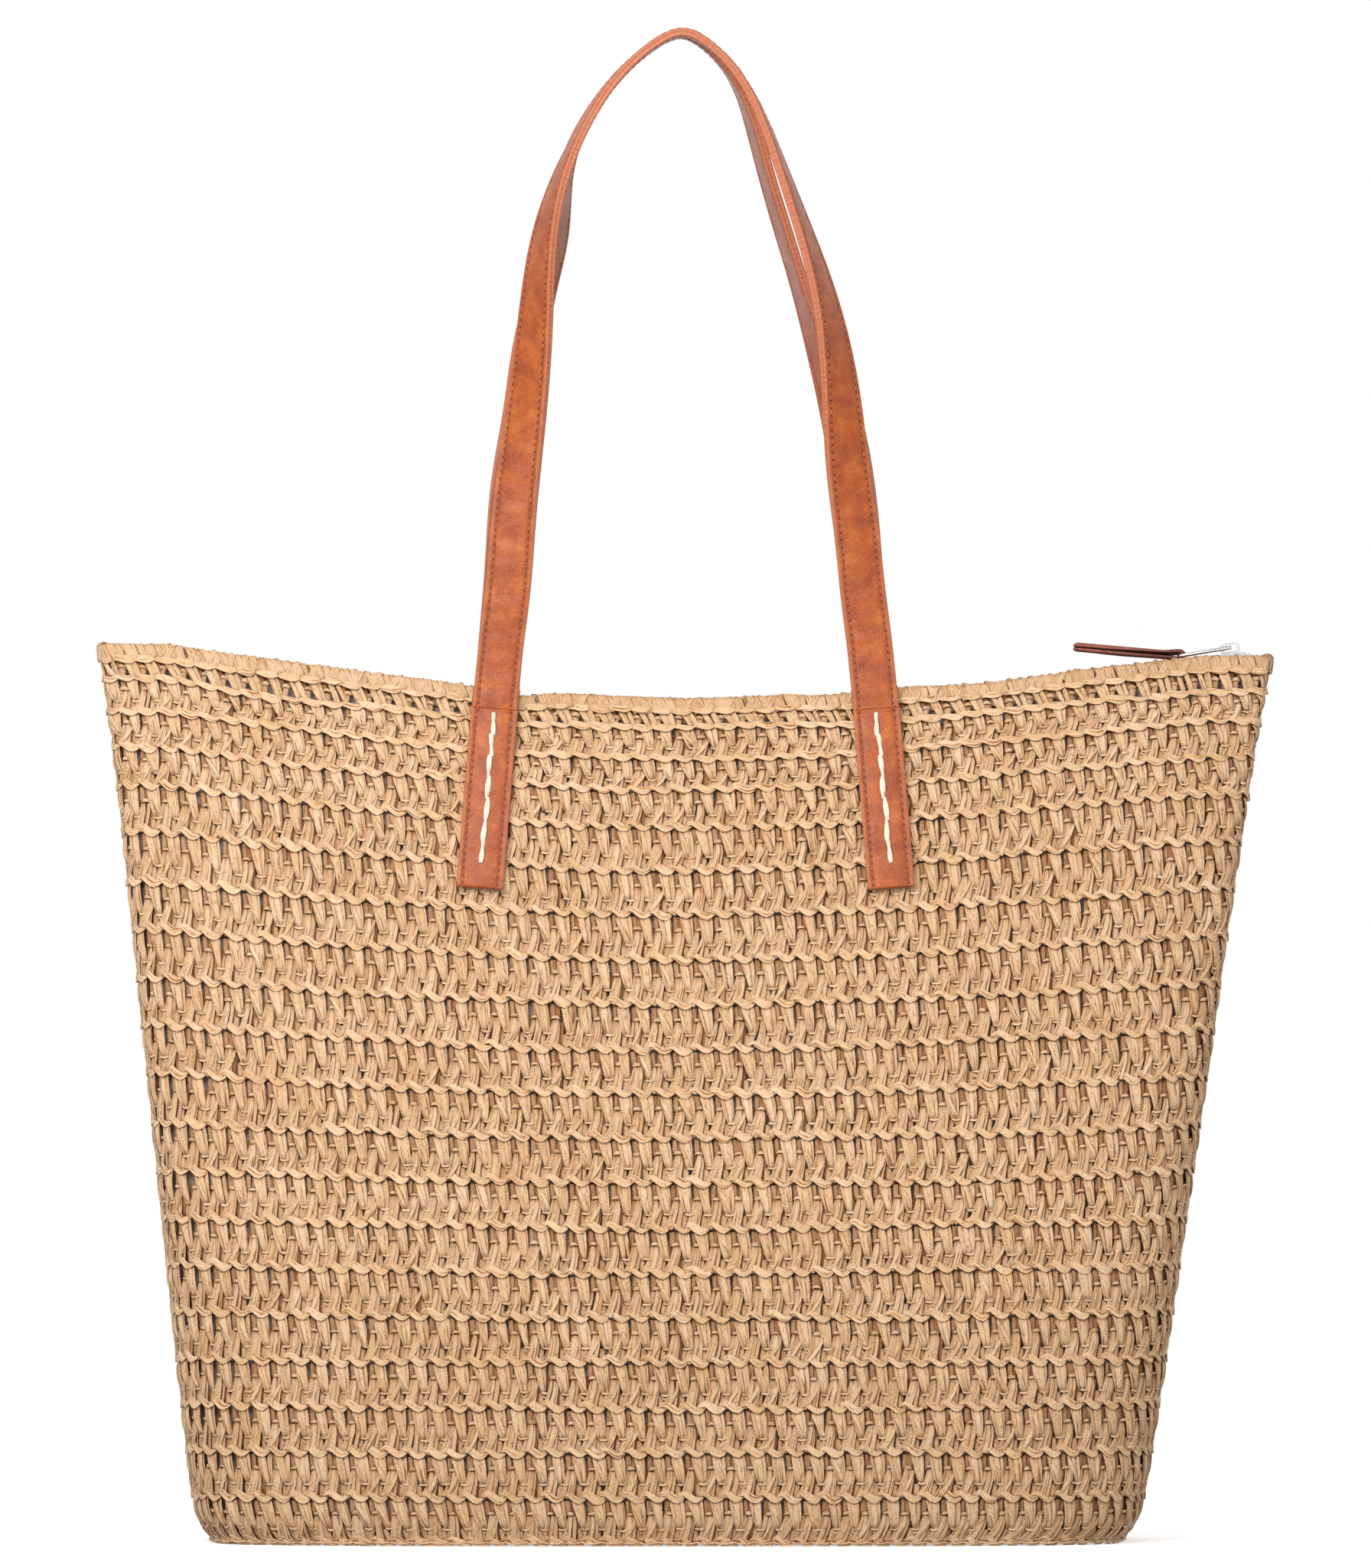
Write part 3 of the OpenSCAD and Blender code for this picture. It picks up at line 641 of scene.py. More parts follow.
def strap_mesh(name, hang, mirror):
    p, across, out, along = strap_route(hang)
    section = strap_section()
    end = np.minimum(along, along[-1] - along)
    edge = np.interp(end, [0, 0.25, 0.6, 1.1], [0.90, 0.965, 0.99, 1.0])
    tab = np.interp(end, [TAB_LEN - 0.2, TAB_LEN + 0.3], [1.0, 0.0])
    half = section[:, 0][None] * (1 + TAB_WIDEN * tab[:, None])
    on_face = (section[:, 1] > 0.5)[None]
    above = on_face * lap_rise(end)[:, None]
    lapped = np.interp(end, [SEAM_AT, SEAM_AT + 0.3, TAB_LEN, TAB_LEN + 0.4], [0, 1, 1, 0])
    inset = on_face * lapped[:, None]
    half = half - np.sign(section[:, 0])[None] * 0.35 * inset
    puff = 0.10 * np.sin(along * 0.33 + 1.0) + 0.08 * np.sin(along * 0.81) + 0.05 * np.sin(along * 1.9)
    swell = np.sign(section[:, 1])[None] * (puff * (end > 3))[:, None] * (np.abs(section[:, 0]) < 6)[None]
    thick = section[:, 1][None] + swell
    verts = p[:, None] + across[:, None] * (half * edge[:, None])[..., None]
    verts = verts + out[:, None] * (thick * (0.72 + 0.28 * (edge[:, None] - 0.9) / 0.1) + above)[..., None]
    face = np.clip(section[:, 1] / LAYER_T * 1.4, -1, 1) * (np.abs(section[:, 0]) < STRAP_W / 2 - 0.2)
    ring = len(section)
    data = np.stack([np.tile(section[:, 0], (len(p), 1)), np.repeat(along[:, None], ring, axis=1),
                     np.tile(face, (len(p), 1))], axis=-1)
    verts = verts.reshape(-1, 3) * [1, -1 if mirror else 1, 1]
    faces = tube_faces(1, len(p), ring)
    if not mirror:
        faces = [f[:, ::-1] for f in faces]
    return make_mesh(name, verts, faces, {"strap": data.reshape(-1, 3)}), (p, across, out, along)


def capsules(name, centre, along, normal, length, radius, sides=6):
    """Short rounded stitches: one per centre, lying along its direction."""
    profile = np.array([[-0.5, 0.25], [-0.42, 0.75], [-0.2, 1.0], [0.2, 1.0], [0.42, 0.75], [0.5, 0.25]])
    across = unit(np.cross(normal, along))
    angle = np.arange(sides) / sides * 2 * math.pi
    round_ = across[:, None] * np.cos(angle)[None, :, None] + normal[:, None] * np.sin(angle)[None, :, None]
    verts = centre[:, None, None] + along[:, None, None] * (profile[:, 0] * length)[None, :, None, None]
    verts = verts + round_[:, None] * (profile[:, 1] * radius)[None, :, None, None]
    return make_mesh(name, verts.reshape(-1, 3), tube_faces(len(centre), len(profile), sides))


def machine_stitches(name, route, mirror):
    """Thread along both edges of a strap, on both faces, and across each tab's top and bottom."""
    p, across, out, along = route
    total = along[-1]
    at = np.arange(STITCH_PITCH, total - STITCH_PITCH + 0.1, STITCH_PITCH)
    pp = resample(at, along, p)
    aa, oo = (unit(resample(at, along, table)) for table in (across, out))
    tt = unit(np.cross(oo, aa))
    end = np.minimum(at, total - at)
    over = lap_rise(end)
    middle = STRAP_W / 2 - STITCH_IN
    wide = middle * (1 + TAB_WIDEN * (end < TAB_LEN))
    wide = wide - 0.35 * ((end > SEAM_AT) & (end < TAB_LEN))
    centres, ways, normals = [], [], []
    for face in (1, -1):
        for side in (1, -1):
            lift = LAYER_T - 0.16 + over * (face > 0)
            centres.append(pp + aa * (side * wide)[:, None] + oo * (face * lift)[:, None])
            ways.append(unit(tt + aa * 0.09 * side))
            normals.append(oo * face)
    for place in (STITCH_PITCH, SEAM_AT - 0.9, total - STITCH_PITCH, total - SEAM_AT + 0.9):
        k = int(np.argmin(np.abs(along - place)))
        row = (np.arange(-2, 2.1, 1.0) * middle / 2.5)[:, None]
        centres.append(p[k] + across[k] * row + out[k] * (LAYER_T + 0.05))
        ways.append(np.tile(across[k], (len(row), 1)))
        normals.append(np.tile(out[k], (len(row), 1)))
    flip = np.array([1, -1 if mirror else 1, 1])
    return capsules(name, np.concatenate(centres) * flip, np.concatenate(ways) * flip,
                    np.concatenate(normals) * flip, 2.3, 0.34)


def hand_stitches(material):
    """Seven thick two-ply stitches down each tab, end to end."""
    pitch, first, count, plies, sides, rings = 8.9, 11.4, 7, 2, 7, 13
    verts, data = [], []
    for face in (1, -1):
        for side in (-1, 1):
            origin, x_axis, outward, up = panel_frame(side)
            for k in range(count):
                jog = random.normal(0, 0.3)
                lean = random.normal(0, 0.06) + 0.02
                q = np.linspace(0, 1, rings)
                swell = np.sin(math.pi * np.clip(q, 0.03, 0.97)) ** 0.28
                for ply in range(plies):
                    phase = math.pi * ply + 2.6 * q + 0.5 * k
                    x = jog + lean * 9 * (q - 0.5) + 0.52 * np.cos(phase) * swell
                    lift = 2 * LAYER_T + 0.1 + 0.75 * swell + 0.28 * np.sin(phase) * swell
                    z = -first - pitch * (k + 1) + 9.7 * q
                    middle = origin + x[:, None] * x_axis + lift[:, None] * outward + z[:, None] * up
                    angle = np.arange(sides) / sides * 2 * math.pi
                    radius = (0.30 + 0.42 * swell)[:, None, None]
                    round_ = np.cos(angle)[None, :, None] * x_axis
                    round_ = round_ + 0.85 * np.sin(angle)[None, :, None] * outward
                    ring = middle[:, None] + round_ * radius
                    verts.append(ring.reshape(-1, 3) * [1, face, 1])
                    data.append(np.stack([np.tile(angle, rings), np.repeat(9.5 * q, sides),
                                          np.full(rings * sides, k + 0.3 * ply)], axis=1))
    count_all = len(verts)
    faces = tube_faces(count_all, rings, sides)
    obj = make_mesh("hand_stitch_thread", np.concatenate(verts), faces, {"fibre": np.concatenate(data)})
    finish_piece(obj, "bag", "hand_thread", material, "hand_stitches")


def handles(leather, thread):
    for word, hang, mirror in (("front", FRONT_HANG, False), ("back", BACK_HANG, True)):
        body = f"{word}_handle"
        obj, route = strap_mesh(f"{word}_strap", hang, mirror)
        sewn = machine_stitches(f"{word}_strap_sewing", route, mirror)
        for piece, material in ((obj, leather), (sewn, thread)):
            piece.data.materials.append(material)
            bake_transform(piece)
        tabs = [f"{word}_{side}_tab{part}" for side in ("left", "right") for part in ("", "_backing")]
        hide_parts(f"{body}_outer", f"{body}_backing", *tabs)


# ------------------------------------------------------------------ zip
def arc_point(angle, rise, y):
    """A point on the zip's arc, angle in radians to the right of its middle, rise above the tape."""
    r = ZIP_R - rise
    return np.stack([r * np.sin(angle), y + 0 * angle, ZIP_CENTRE - r * np.cos(angle)], axis=-1)


def zip_parts(tape_material, coil_material):
    left, right = math.radians(-8.85), math.radians(9.24)
    angles = np.linspace(left, right, 330)
    section = np.array([[1.9, 0.30], [2.6, 0.42], [5.6, 0.42], [6.6, 0.2],
                        [6.8, -0.5], [6.8, -9.0], [6.0, -9.0],
                        [6.0, -0.9], [5.4, -0.42], [2.6, -0.42], [1.9, -0.30]])
    for side, word in ((-1, "front"), (1, "back")):
        rings = np.stack([arc_point(angles, r, side * y) for y, r in section], axis=1)
        wave = 0.12 * np.sin(angles * 260)[:, None]
        rings[..., 2] += wave
        faces = tube_faces(1, len(angles), len(section))
        if side > 0:
            faces = [f[:, ::-1] for f in faces]
        along = np.repeat((angles * ZIP_R)[:, None], len(section), axis=1)
        girth = np.tile(lengths(section), (len(angles), 1))
        data = np.stack([along, girth, 0 * girth], axis=-1).reshape(-1, 3)
        tape = make_mesh(f"zip_cloth_{word}", rings.reshape(-1, 3), faces, {"weave": data})
        finish_piece(tape, "bag", "zip_tape", tape_material, f"zip_tape_{word}")

        pitch = 1.5
        at = np.arange(math.radians(-7.3) * ZIP_R, math.radians(9.15) * ZIP_R, pitch) / ZIP_R
        at = at + (0.25 * pitch / ZIP_R if side > 0 else -0.25 * pitch / ZIP_R)
        lap = np.linspace(0, 2 * math.pi, 9)[:-1]
        tooth_y = side * (1.15 + 1.1 * np.cos(lap))
        tooth_z = 1.0 * np.sin(lap)
        centre = np.stack([arc_point(at, z, y) for y, z in zip(tooth_y, tooth_z)], axis=1)
        spread = np.array([-0.5, 0.5]) * 0.95
        tangent = unit(np.stack([np.cos(at), 0 * at, np.sin(at)], axis=1))
        rings = centre[:, None] + tangent[:, None, None] * spread[None, :, None, None]
        faces = tube_faces(len(at), 2, len(lap))
        teeth = make_mesh(f"zip_teeth_{word}", rings.reshape(-1, 3), faces, smooth=False)
        finish_piece(teeth, "bag", "zip_coil", coil_material, f"zip_coil_{word}")


def swept_outline(name, outline, half_width, pivot, tilt, attribute, round_=0.5):
    """A strip with a side outline in X and Z, half_width to each side along Y, with rounded long edges."""
    a = np.asarray(outline, dtype=float)
    tangent = unit(np.roll(a, -1, axis=0) - np.roll(a, 1, axis=0))
    normal = np.stack([tangent[:, 1], -tangent[:, 0]], axis=1)
    steps = [(-half_width, round_), (-half_width + 0.3 * round_, 0.35 * round_), (-half_width + round_, 0.0)]
    steps += [(0.0, 0.0)] + [(-y, inset) for y, inset in steps[::-1]]
    c, s = math.cos(tilt), math.sin(tilt)
    rings = []
    for y, inset in steps:
        ring = a - normal * inset
        x = ring[:, 0] * c + ring[:, 1] * s
        z = -ring[:, 0] * s + ring[:, 1] * c
        rings.append(np.stack([pivot[0] + x, np.full(len(a), pivot[1] + y), pivot[2] + z], axis=1))
    along = lengths(a)
    data = np.stack([np.repeat([[y] for y, _ in steps], len(a), axis=1), np.tile(along, (len(steps), 1)),
                     np.ones((len(steps), len(a)))], axis=-1)
    faces = tube_faces(1, len(steps), len(a))
    return make_mesh(name, np.concatenate(rings), faces, {attribute: data.reshape(-1, 3)})


def joint_place(name):
    for joint in frame["record"]["behaviour"]["joints"]:
        if joint["name"] == name:
            return np.array(joint["pos_m"]) / MM


def zip_pull(leather, thread, metal):
    bar = joint_place("zip_pull_swing")
    ply, slit, loop_r, length = 1.3, 0.4, 1.15, 43.0
    outer = loop_r + ply
    tip = np.linspace(math.pi / 2, -math.pi / 2, 15)
    nose = [(outer * math.cos(a), outer * math.sin(a)) for a in tip]
    top = ply + slit / 2
    outline = nose
    outline += [(-x, -outer + (outer - top) * (0.5 - 0.5 * math.cos(math.pi * min(x / 7, 1)))
                 + 0.12 * math.sin(x / 5))
                for x in np.linspace(0.8, length - 1.0, 22)]
    outline += [(-length, -top + 0.4), (-length - 0.2, -slit / 2 - 0.5), (-length + 0.1, -slit / 2)]
    outline += [(-x, -slit / 2) for x in np.linspace(length - 1.5, 4.5, 12)]
    eye = np.linspace(-math.pi * 0.78, math.pi * 0.78, 17)
    outline += [(loop_r * math.cos(a), loop_r * math.sin(a)) for a in eye]
    outline += [(-x, slit / 2) for x in np.linspace(4.5, length - 1.5, 12)]
    outline += [(-length + 0.1, slit / 2), (-length - 0.2, slit / 2 + 0.5), (-length, top - 0.4)]
    outline += [(-x, outer - (outer - top) * (0.5 - 0.5 * math.cos(math.pi * min(x / 7, 1))))
                for x in np.linspace(length - 1.0, 0.8, 22)]
    pull = swept_outline("leather_pull", outline, 5.4, bar, PULL_RISE, "strap", 0.45)
    finish_piece(pull, "zip_pull", "pull_leather", leather, "zip_pull_leather")
    way = np.array([-math.cos(PULL_RISE), 0, math.sin(PULL_RISE)])
    up = np.array([math.sin(PULL_RISE), 0, math.cos(PULL_RISE)])
    at = np.arange(8, length - 3, 2.8)
    centres = [bar + way * a + up * face * (top - 0.03) + np.array([0, y, 0])
               for face in (1, -1) for y in (-3.6, 3.6) for a in at]
    ups = [up * face for face in (1, -1) for _ in range(2 * len(at))]
    ways = np.tile(way, (len(centres), 1))
    sewn = capsules("pull_sewing", np.array(centres), ways, np.array(ups), 2.1, 0.3)
    finish_piece(sewn, "zip_pull", "pull_leather", thread)

    pin = joint_place("zip_link_swing")
    drop = math.atan2(pin[2] - bar[2], pin[0] - bar[0])
    reach = math.hypot(pin[2] - bar[2], pin[0] - bar[0])
    half = 6.6
    corner = 1.6
    route = []
    for cx, cy, a0 in ((-corner, half - corner, 90), (-reach + corner, half - corner, 180),
                       (-reach + corner, -half + corner, 270), (-corner, -half + corner, 360)):
        for a in np.radians(np.linspace(a0 - 90, a0, 7)):
            route.append((cx + corner * math.cos(a), cy + corner * math.sin(a)))
    route = np.array(route)
    middle = np.stack([route[:, 0] * math.cos(drop), route[:, 1], route[:, 0] * math.sin(drop)], axis=1) + pin
    tangent = unit(np.roll(middle, -1, axis=0) - np.roll(middle, 1, axis=0))
    up = np.array([-math.sin(drop), 0, math.cos(drop)])
    side = unit(np.cross(np.tile(up, (len(middle), 1)), tangent))
    angle = np.arange(14) / 14 * 2 * math.pi
    round_ = side[:, None] * np.cos(angle)[None, :, None] + up * np.sin(angle)[None, :, None]
    rings = middle[:, None] + WIRE_R * round_
    link = make_mesh("pull_link_wire", rings.reshape(-1, 3), tube_faces(1, len(middle), 14, closed=True))
    finish_piece(link, "zip_link", "zip_metal", metal, "zip_pull_link")


# ------------------------------------------------------------------ materials
class Graph:
    """A material's nodes, made by short calls that return sockets."""

    def __init__(self, name):
        self.material = bpy.data.materials.new(name)
        self.material.use_nodes = True
        self.tree = self.material.node_tree
        self.tree.nodes.clear()
        self.shader = self.tree.nodes.new("ShaderNodeBsdfPrincipled")
        out = self.tree.nodes.new("ShaderNodeOutputMaterial")
        self.tree.links.new(self.shader.outputs[0], out.inputs[0])

    def plug(self, socket, value):
        if isinstance(value, bpy.types.NodeSocket):
            self.tree.links.new(value, socket)
        elif value is not None:
            socket.default_value = value

    def set(self, **values):
        for key, value in values.items():
            self.plug(self.shader.inputs[key.replace("_", " ")], value)

    def attribute(self, name):
        node = self.tree.nodes.new("ShaderNodeAttribute")
        node.attribute_name = name
        return node

    def split(self, vector):
        node = self.tree.nodes.new("ShaderNodeSeparateXYZ")
        self.plug(node.inputs[0], vector)
        return node.outputs

    def join(self, x, y, z):
        node = self.tree.nodes.new("ShaderNodeCombineXYZ")
        for socket, value in zip(node.inputs, (x, y, z)):
            self.plug(socket, value)
        return node.outputs[0]

    def math(self, operation, a, b=None, c=None):
        node = self.tree.nodes.new("ShaderNodeMath")
        node.operation = operation
        for socket, value in zip(node.inputs, (a, b, c)):
            self.plug(socket, value)
        return node.outputs[0]

    def noise(self, vector, scale, detail=3.0, rough=0.55, distort=0.0):
        node = self.tree.nodes.new("ShaderNodeTexNoise")
        self.plug(node.inputs["Vector"], vector)
        settings = {"Scale": scale, "Detail": detail, "Roughness": rough, "Distortion": distort}
        for key, value in settings.items():
            node.inputs[key].default_value = value
        return node.outputs["Fac"]

    def cells(self, vector, scale):
        node = self.tree.nodes.new("ShaderNodeTexVoronoi")
        self.plug(node.inputs["Vector"], vector)
        node.inputs["Scale"].default_value = scale
        return node.outputs["Distance"]

    def ramp(self, value, *stops):
        node = self.tree.nodes.new("ShaderNodeValToRGB")
        self.plug(node.inputs[0], value)
        elements = node.color_ramp.elements
        while len(elements) < len(stops):
            elements.new(0.5)
        for element, (place, colour) in zip(elements, stops):
            element.position = place
            element.color = (*colour, 1) if len(colour) == 3 else colour
        return node.outputs[0]

    def grade(self, value, low, high, to_low=0.0, to_high=1.0):
        node = self.tree.nodes.new("ShaderNodeMapRange")
        for socket, number in zip(node.inputs, (value, low, high, to_low, to_high)):
            self.plug(socket, number)
        return node.outputs[0]

    def mix(self, amount, a, b, blend="MIX"):
        node = self.tree.nodes.new("ShaderNodeMix")
        node.data_type = "RGBA"
        node.blend_type = blend
        self.plug(node.inputs[0], amount)
        for socket, value in ((node.inputs[6], a), (node.inputs[7], b)):
            self.plug(socket, (*value, 1) if isinstance(value, tuple) and len(value) == 3 else value)
        return node.outputs[2]

    def bump(self, height, distance, strength=1.0, normal=None):
        node = self.tree.nodes.new("ShaderNodeBump")
        node.inputs["Strength"].default_value = strength
        node.inputs["Distance"].default_value = distance
        self.plug(node.inputs["Height"], height)
        self.plug(node.inputs["Normal"], normal)
        return node.outputs[0]

    def place(self):
        return self.tree.nodes.new("ShaderNodeTexCoord").outputs["Object"]


def straw_material():
    g = Graph("paper_straw")
    across, along, name = g.split(g.attribute("fibre").outputs["Vector"])
    seed = g.math("MULTIPLY", name, 91.0)

    def streaks(across_scale, along_scale, third):
        spread = g.math("ADD", g.math("MULTIPLY", across, across_scale), seed)
        return g.join(spread, g.math("MULTIPLY", along, along_scale), third)

    fibres = g.noise(streaks(2.6, 0.14, seed), 1.0, 4.0, 0.62)
    creases = g.noise(streaks(1.15, 0.06, 3.0), 1.0, 2.0, 0.5)
    patches = g.noise(g.place(), 30.0, 2.0)
    tone = g.math("ADD", g.math("MULTIPLY", name, 0.13), g.math("MULTIPLY_ADD", fibres, 0.50, 0.20))
    tone = g.math("ADD", tone, g.math("MULTIPLY", g.math("SUBTRACT", patches, 0.5), 0.22))
    colour = g.ramp(tone, (0.26, (0.47, 0.244, 0.086)), (0.42, (0.65, 0.400, 0.205)),
                    (0.58, (0.75, 0.508, 0.310)),
                    (0.78, (0.855, 0.650, 0.463)))
    crumple = g.noise(streaks(0.55, 0.45, seed), 1.0, 3.0, 0.6, 0.8)
    # Painted shade: line darkens the straw along its creases and crumples, and painted_shade_tint makes that
    # shade warmer, with less blue than red.
    line = g.math("MULTIPLY", g.grade(creases, 0.32, 0.39, 0.48, 1.0),
                  g.grade(crumple, 0.30, 0.42, 0.70, 1.0))
    painted_shade_tint = g.join(line, g.math("POWER", line, 1.7), g.math("POWER", line, 2.8))
    colour = g.mix(1.0, colour, painted_shade_tint, "MULTIPLY")
    # Painted shade: straw that lies deeper below the surface, by its rise attribute, is darkened towards a
    # warm brown, as shade in the recesses between stitches.
    depth = g.grade(g.attribute("rise").outputs["Fac"], -3.2, 0.3)
    colour = g.mix(depth, g.mix(1.0, colour, (0.43, 0.215, 0.065), "MULTIPLY"), colour)
    # Painted shade: the straw is darkened over its lowest 140 mm, standing in for less light reaching the
    # lower bag.
    height = g.split(g.place())[2]
    painted_base_shade = g.grade(height, 0.0, 0.14, 0.87, 1.0)
    painted_shade_tint = g.join(painted_base_shade, g.math("POWER", painted_base_shade, 1.1), g.math("POWER", painted_base_shade, 1.3))
    colour = g.mix(1.0, colour, painted_shade_tint, "MULTIPLY")
    first = g.bump(g.math("ADD", creases, g.math("MULTIPLY", crumple, 0.8)), 0.0008, 1.0)
    g.set(Base_Color=colour, Roughness=g.grade(fibres, 0.3, 0.7, 0.44, 0.66), Specular_IOR_Level=0.36,
          Normal=g.bump(fibres, 0.0004, 0.9, first))
    return g.material


def cloth_material(name, dark, light, pitch, height):
    """A plain weave of threads pitch mm apart."""
    g = Graph(name)
    x, y, _ = g.split(g.attribute("weave").outputs["Vector"])
    wave = 2 * math.pi / pitch
    warp = g.math("SINE", g.math("MULTIPLY", x, wave))
    weft = g.math("SINE", g.math("MULTIPLY", y, wave))
    threads = g.math("MULTIPLY", warp, weft)
    cloudy = g.noise(g.place(), 60.0, 3.0)
    tone = g.math("ADD", g.math("MULTIPLY", threads, 0.12), cloudy)
    g.set(Base_Color=g.ramp(tone, (0.25, dark), (0.75, light)), Roughness=0.9, Specular_IOR_Level=0.15,
          Sheen_Weight=0.15, Sheen_Roughness=0.5, Normal=g.bump(threads, height, 0.7))
    return g.material


def strap_material():
    g = Graph("saddle_leather")
    across, along, face = g.split(g.attribute("strap").outputs["Vector"])
    flat = g.join(across, along, 0.0)
    cross_wise = g.join(g.math("MULTIPLY", across, 0.8), along, 0.0)
    grain = g.cells(flat, 1.5)
    wrinkles = g.noise(cross_wise, 0.8, 5.0, 0.62, 0.5)
    clouds = g.noise(flat, 0.11, 4.0, 0.6)
    pores = g.noise(flat, 2.4, 3.0)
    tone = g.math("ADD", g.math("MULTIPLY", wrinkles, 0.25), g.math("MULTIPLY", clouds, 0.75))
    tone = g.math("ADD", tone, g.math("MULTIPLY", g.math("SUBTRACT", pores, 0.5), 0.16))
    front = g.ramp(tone, (0.36, (0.255, 0.040, 0.0025)), (0.47, (0.335, 0.061, 0.004)),
                   (0.55, (0.395, 0.081, 0.006)),
                   (0.66, (0.465, 0.118, 0.016)))
    # Lighter along both edges of the face: a painted highlight where the rounded edges catch the light,
    # together with the lighter burnished edge of the leather.
    edge_burnish_and_highlight = g.grade(g.math("ABSOLUTE", across), STRAP_W / 2 - 1.5, STRAP_W / 2 - 0.5, 0.0, 0.4)
    front = g.mix(edge_burnish_and_highlight, front, (0.50, 0.175, 0.075))
    back = g.ramp(tone, (0.35, (0.25, 0.058, 0.020)), (0.6, (0.38, 0.110, 0.048)))
    edge = g.ramp(g.noise(g.join(along, face, 0.0), 0.9, 2.0), (0.35, (0.40, 0.105, 0.042)),
                  (0.65, (0.52, 0.170, 0.080)))
    line = g.math("ABSOLUTE", g.math("SUBTRACT", g.math("ABSOLUTE", across), STRAP_W / 2 - STITCH_IN))
    beat = g.math("ABSOLUTE", g.math("SUBTRACT", g.math("FRACT", g.math("DIVIDE", along, STITCH_PITCH)), 0.5))
    near = g.grade(line, 0.25, 0.75, 1.0, 0.0)
    hole = g.math("MULTIPLY", near, g.grade(beat, 0.16, 0.06))
    front = g.mix(g.math("MULTIPLY", hole, 0.95), front, (0.055, 0.014, 0.006))
    front = g.mix(g.grade(line, 0.3, 1.3, 0.28, 0.0), front, (0.22, 0.045, 0.012))
    up = g.grade(face, 0.3, 0.6)
    down = g.grade(face, -0.6, -0.3, 1.0, 0.0)
    colour = g.mix(down, g.mix(up, edge, front), back)
    rough = g.grade(wrinkles, 0.3, 0.7, 0.48, 0.34)
    height = g.math("ADD", g.math("MULTIPLY", wrinkles, 0.7), g.math("MULTIPLY", grain, 0.22))
    height = g.math("SUBTRACT", height, g.math("MULTIPLY", hole, 0.5))
    g.set(Base_Color=colour, Roughness=rough, Specular_IOR_Level=0.36, Coat_Weight=0.09, Coat_Roughness=0.22,
          Normal=g.bump(height, 0.00060, 0.8))
    return g.material


def pull_material():
    g = Graph("glazed_leather")
    across, along, _ = g.split(g.attribute("strap").outputs["Vector"])
    flat = g.join(across, along, 0.0)
    clouds = g.noise(flat, 0.4, 4.0)
    grain = g.cells(flat, 1.8)
    g.set(Base_Color=g.ramp(clouds, (0.3, (0.25, 0.075, 0.052)), (0.7, (0.42, 0.140, 0.100))), Roughness=0.33,
          Specular_IOR_Level=0.55, Coat_Weight=0.3, Coat_Roughness=0.2, Normal=g.bump(grain, 0.00012, 0.6))
    return g.material


def thread_material(name, dark, light, rough=0.7):
    g = Graph(name)
    strands = g.noise(g.place(), 900.0, 3.0, 0.6)
    g.set(Base_Color=g.ramp(strands, (0.35, dark), (0.65, light)), Roughness=rough, Specular_IOR_Level=0.3,
          Normal=g.bump(strands, 0.0003, 0.8))
    return g.material


def plain_material(name, dark, light, rough, metallic=0.0):
    g = Graph(name)
    fine = g.noise(g.place(), 700.0, 4.0, 0.6)
    g.set(Base_Color=g.ramp(fine, (0.3, dark), (0.7, light)), Metallic=metallic,
          Roughness=g.grade(fine, 0.3, 0.7, rough, rough + 0.12), Normal=g.bump(fine, 0.00004, 0.4))
    return g.material


# ------------------------------------------------------------------ the stage, the lights and the camera
def stage():
    bpy.ops.mesh.primitive_plane_add(size=12)
    floor = bpy.context.object
    floor.name = "floor"
    g = Graph("pale_floor")
    g.set(Base_Color=g.ramp(g.noise(g.place(), 3.0), (0.4, (0.93, 0.93, 0.93)), (0.6, (0.94, 0.94, 0.94))),
          Roughness=0.9, Specular_IOR_Level=0.0, Emission_Color=(1, 1, 1, 1), Emission_Strength=0.45)
    floor.data.materials.append(g.material)
    floor.visible_diffuse = False


def area_light(name, place, target, size, power, colour=(1, 1, 1)):
    data = bpy.data.lights.new(name, "AREA")
    data.shape = "RECTANGLE"
    data.size, data.size_y = size
    data.energy = power
    data.color = colour
    obj = bpy.data.objects.new(name, data)
    bpy.context.collection.objects.link(obj)
    obj.location = place
    way = np.array(target) - np.array(place)
    yaw = math.atan2(-way[0], way[1])
    pitch = math.atan2(math.hypot(way[0], way[1]), -way[2])
    obj.rotation_euler = (pitch, 0, yaw)


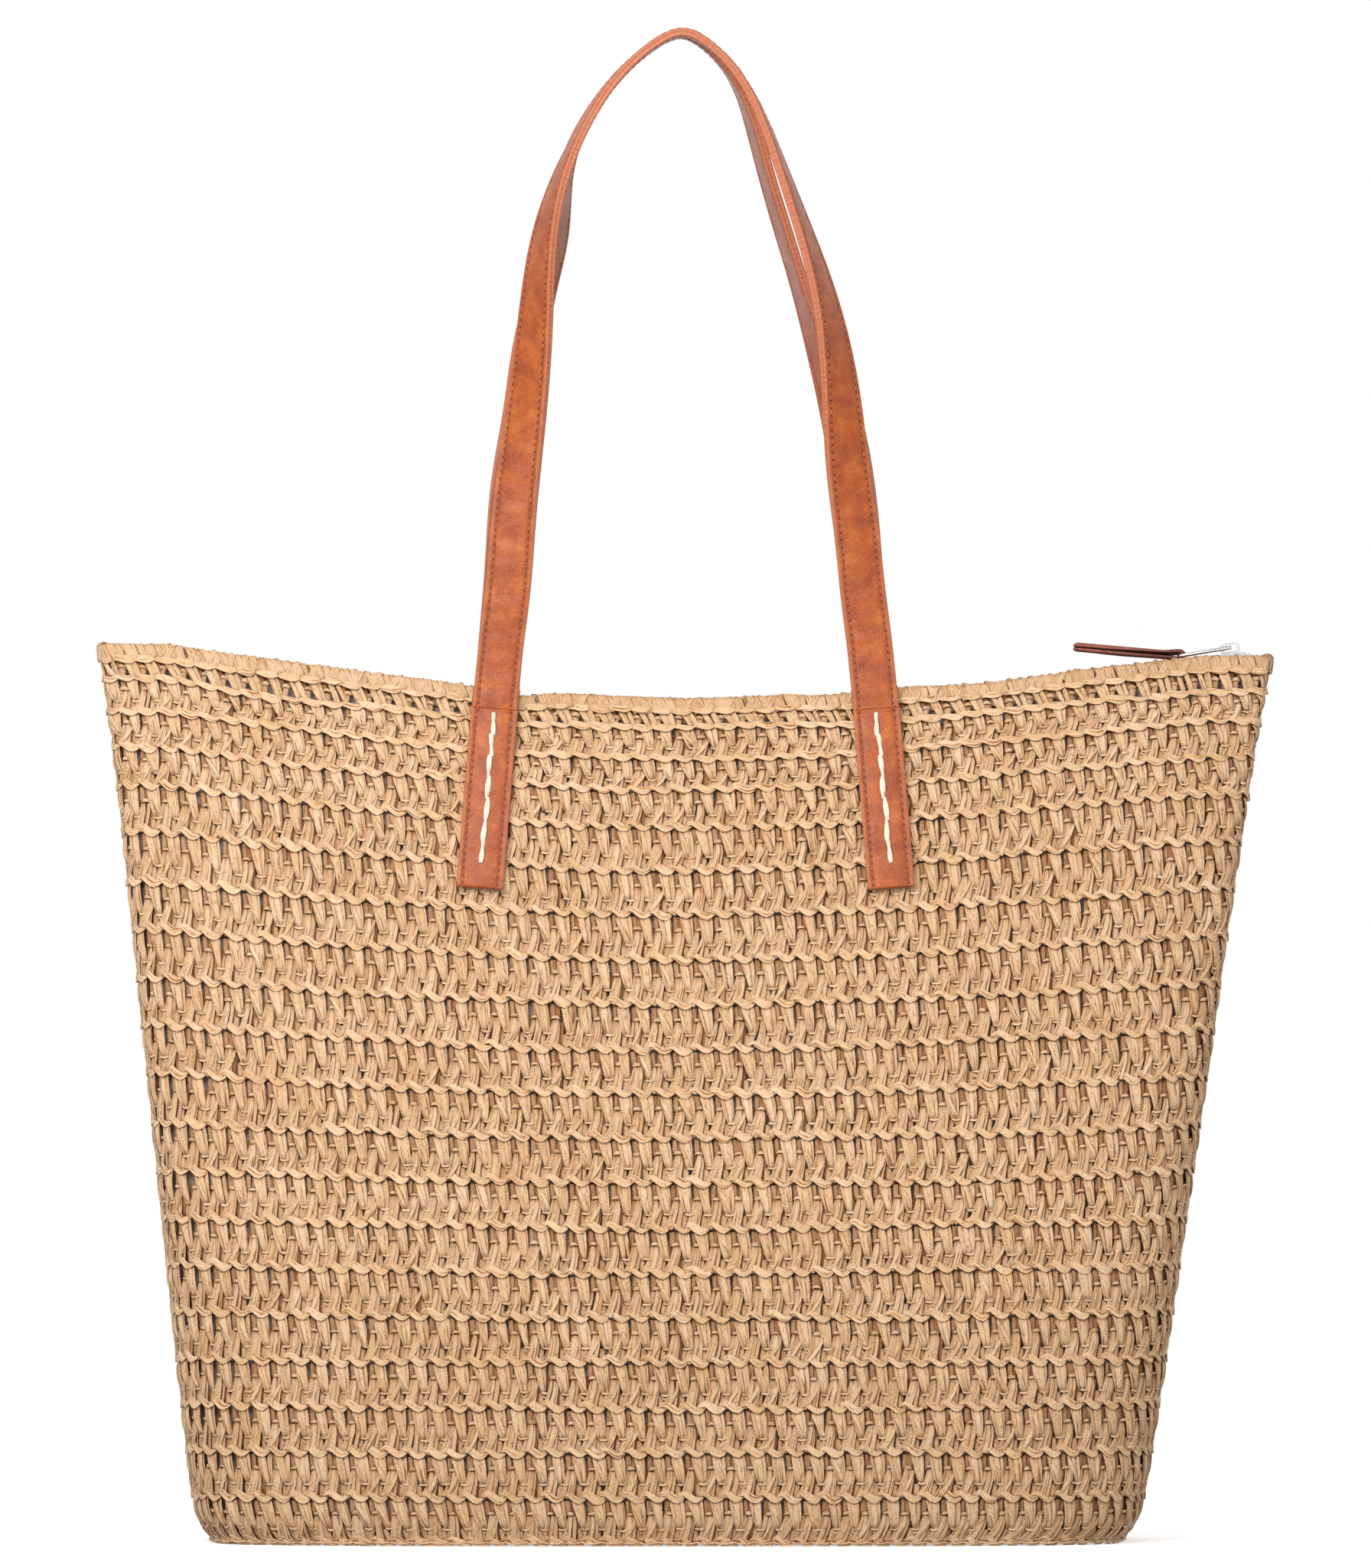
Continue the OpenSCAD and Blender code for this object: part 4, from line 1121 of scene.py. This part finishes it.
def lights():
    """A white room that is darker below, so that the undersides of the stitches fall into shade."""
    world = bpy.data.worlds.new("studio")
    bpy.context.scene.world = world
    world.use_nodes = True
    nodes, links = world.node_tree.nodes, world.node_tree.links
    way = nodes.new("ShaderNodeTexCoord")
    parts = nodes.new("ShaderNodeSeparateXYZ")
    ramp = nodes.new("ShaderNodeMapRange")
    tones = nodes.new("ShaderNodeValToRGB")
    links.new(way.outputs["Generated"], parts.inputs[0])
    links.new(parts.outputs["Z"], ramp.inputs["Value"])
    ramp.inputs["From Min"].default_value = -1.0
    links.new(ramp.outputs["Result"], tones.inputs[0])
    links.new(tones.outputs[0], nodes["Background"].inputs["Color"])
    elements = tones.color_ramp.elements
    while len(elements) < 4:
        elements.new(0.5)
    for element, (place, grey) in zip(elements, ((0.22, 0.25), (0.44, 1.0), (0.64, 1.0), (0.92, 0.42))):
        element.position = place
        element.color = (grey, grey, grey, 1)
    area_light("key", (-0.45, -1.25, 1.0), (-0.03, 0, 0.24), (0.9, 0.7), 20.5)
    area_light("fill", (1.7, -1.9, 1.2), (0, 0, 0.3), (1.4, 1.4), 5)
    area_light("top", (0.2, 0.3, 2.4), (0, 0, 0.3), (1.6, 1.6), 3)
    bpy.context.scene.view_settings.view_transform = "Standard"


def camera():
    data = bpy.data.cameras.new("camera")
    data.sensor_fit = "VERTICAL"
    data.sensor_height = 24
    distance, middle_h, picture_h = 9.0, 0.311, 0.6444
    data.lens = data.sensor_height * distance / picture_h
    obj = bpy.data.objects.new("camera", data)
    bpy.context.collection.objects.link(obj)
    obj.location = (0, -distance, middle_h)
    obj.rotation_euler = (math.radians(90), 0, 0)
    bpy.context.scene.camera = obj


camera()
lights()
stage()
STRAW = straw_material()
LEATHER = strap_material()
METAL = plain_material("nickel", (0.62, 0.63, 0.64), (0.82, 0.83, 0.84), 0.16, 1.0)
straw_shell(STRAW)
LINING = cloth_material("lining_cotton", (0.36, 0.275, 0.255), (0.52, 0.42, 0.39), 0.5, 0.0001)
lining(LINING)
handles(LEATHER, thread_material("edge_thread", (0.28, 0.060, 0.016), (0.46, 0.135, 0.050), 0.5))
hand_stitches(thread_material("waxed_thread", (0.66, 0.56, 0.42), (0.86, 0.79, 0.66), 0.55))
zip_parts(cloth_material("zip_tape_cloth", (0.50, 0.38, 0.24), (0.66, 0.53, 0.37), 0.6, 0.0001),
          plain_material("coil_plastic", (0.52, 0.40, 0.26), (0.66, 0.54, 0.38), 0.4))
zip_pull(pull_material(), thread_material("pull_thread", (0.30, 0.10, 0.06), (0.45, 0.18, 0.12), 0.5), METAL)
for name in ("zip_slider", "zip_slider_bridge", "zip_top_stops", "zip_bottom_stop"):
    node = frame["nodes"][name]
    node.data.materials.clear()
    node.data.materials.append(METAL)
    soften = node.modifiers.new("soft_edges", "BEVEL")
    soften.width = 0.0003
    soften.segments = 2
for word in ("front_left", "front_right", "back_left", "back_right"):
    node = frame["nodes"][f"{word}_anchor_patch"]
    node.data.materials.clear()
    node.data.materials.append(LINING)
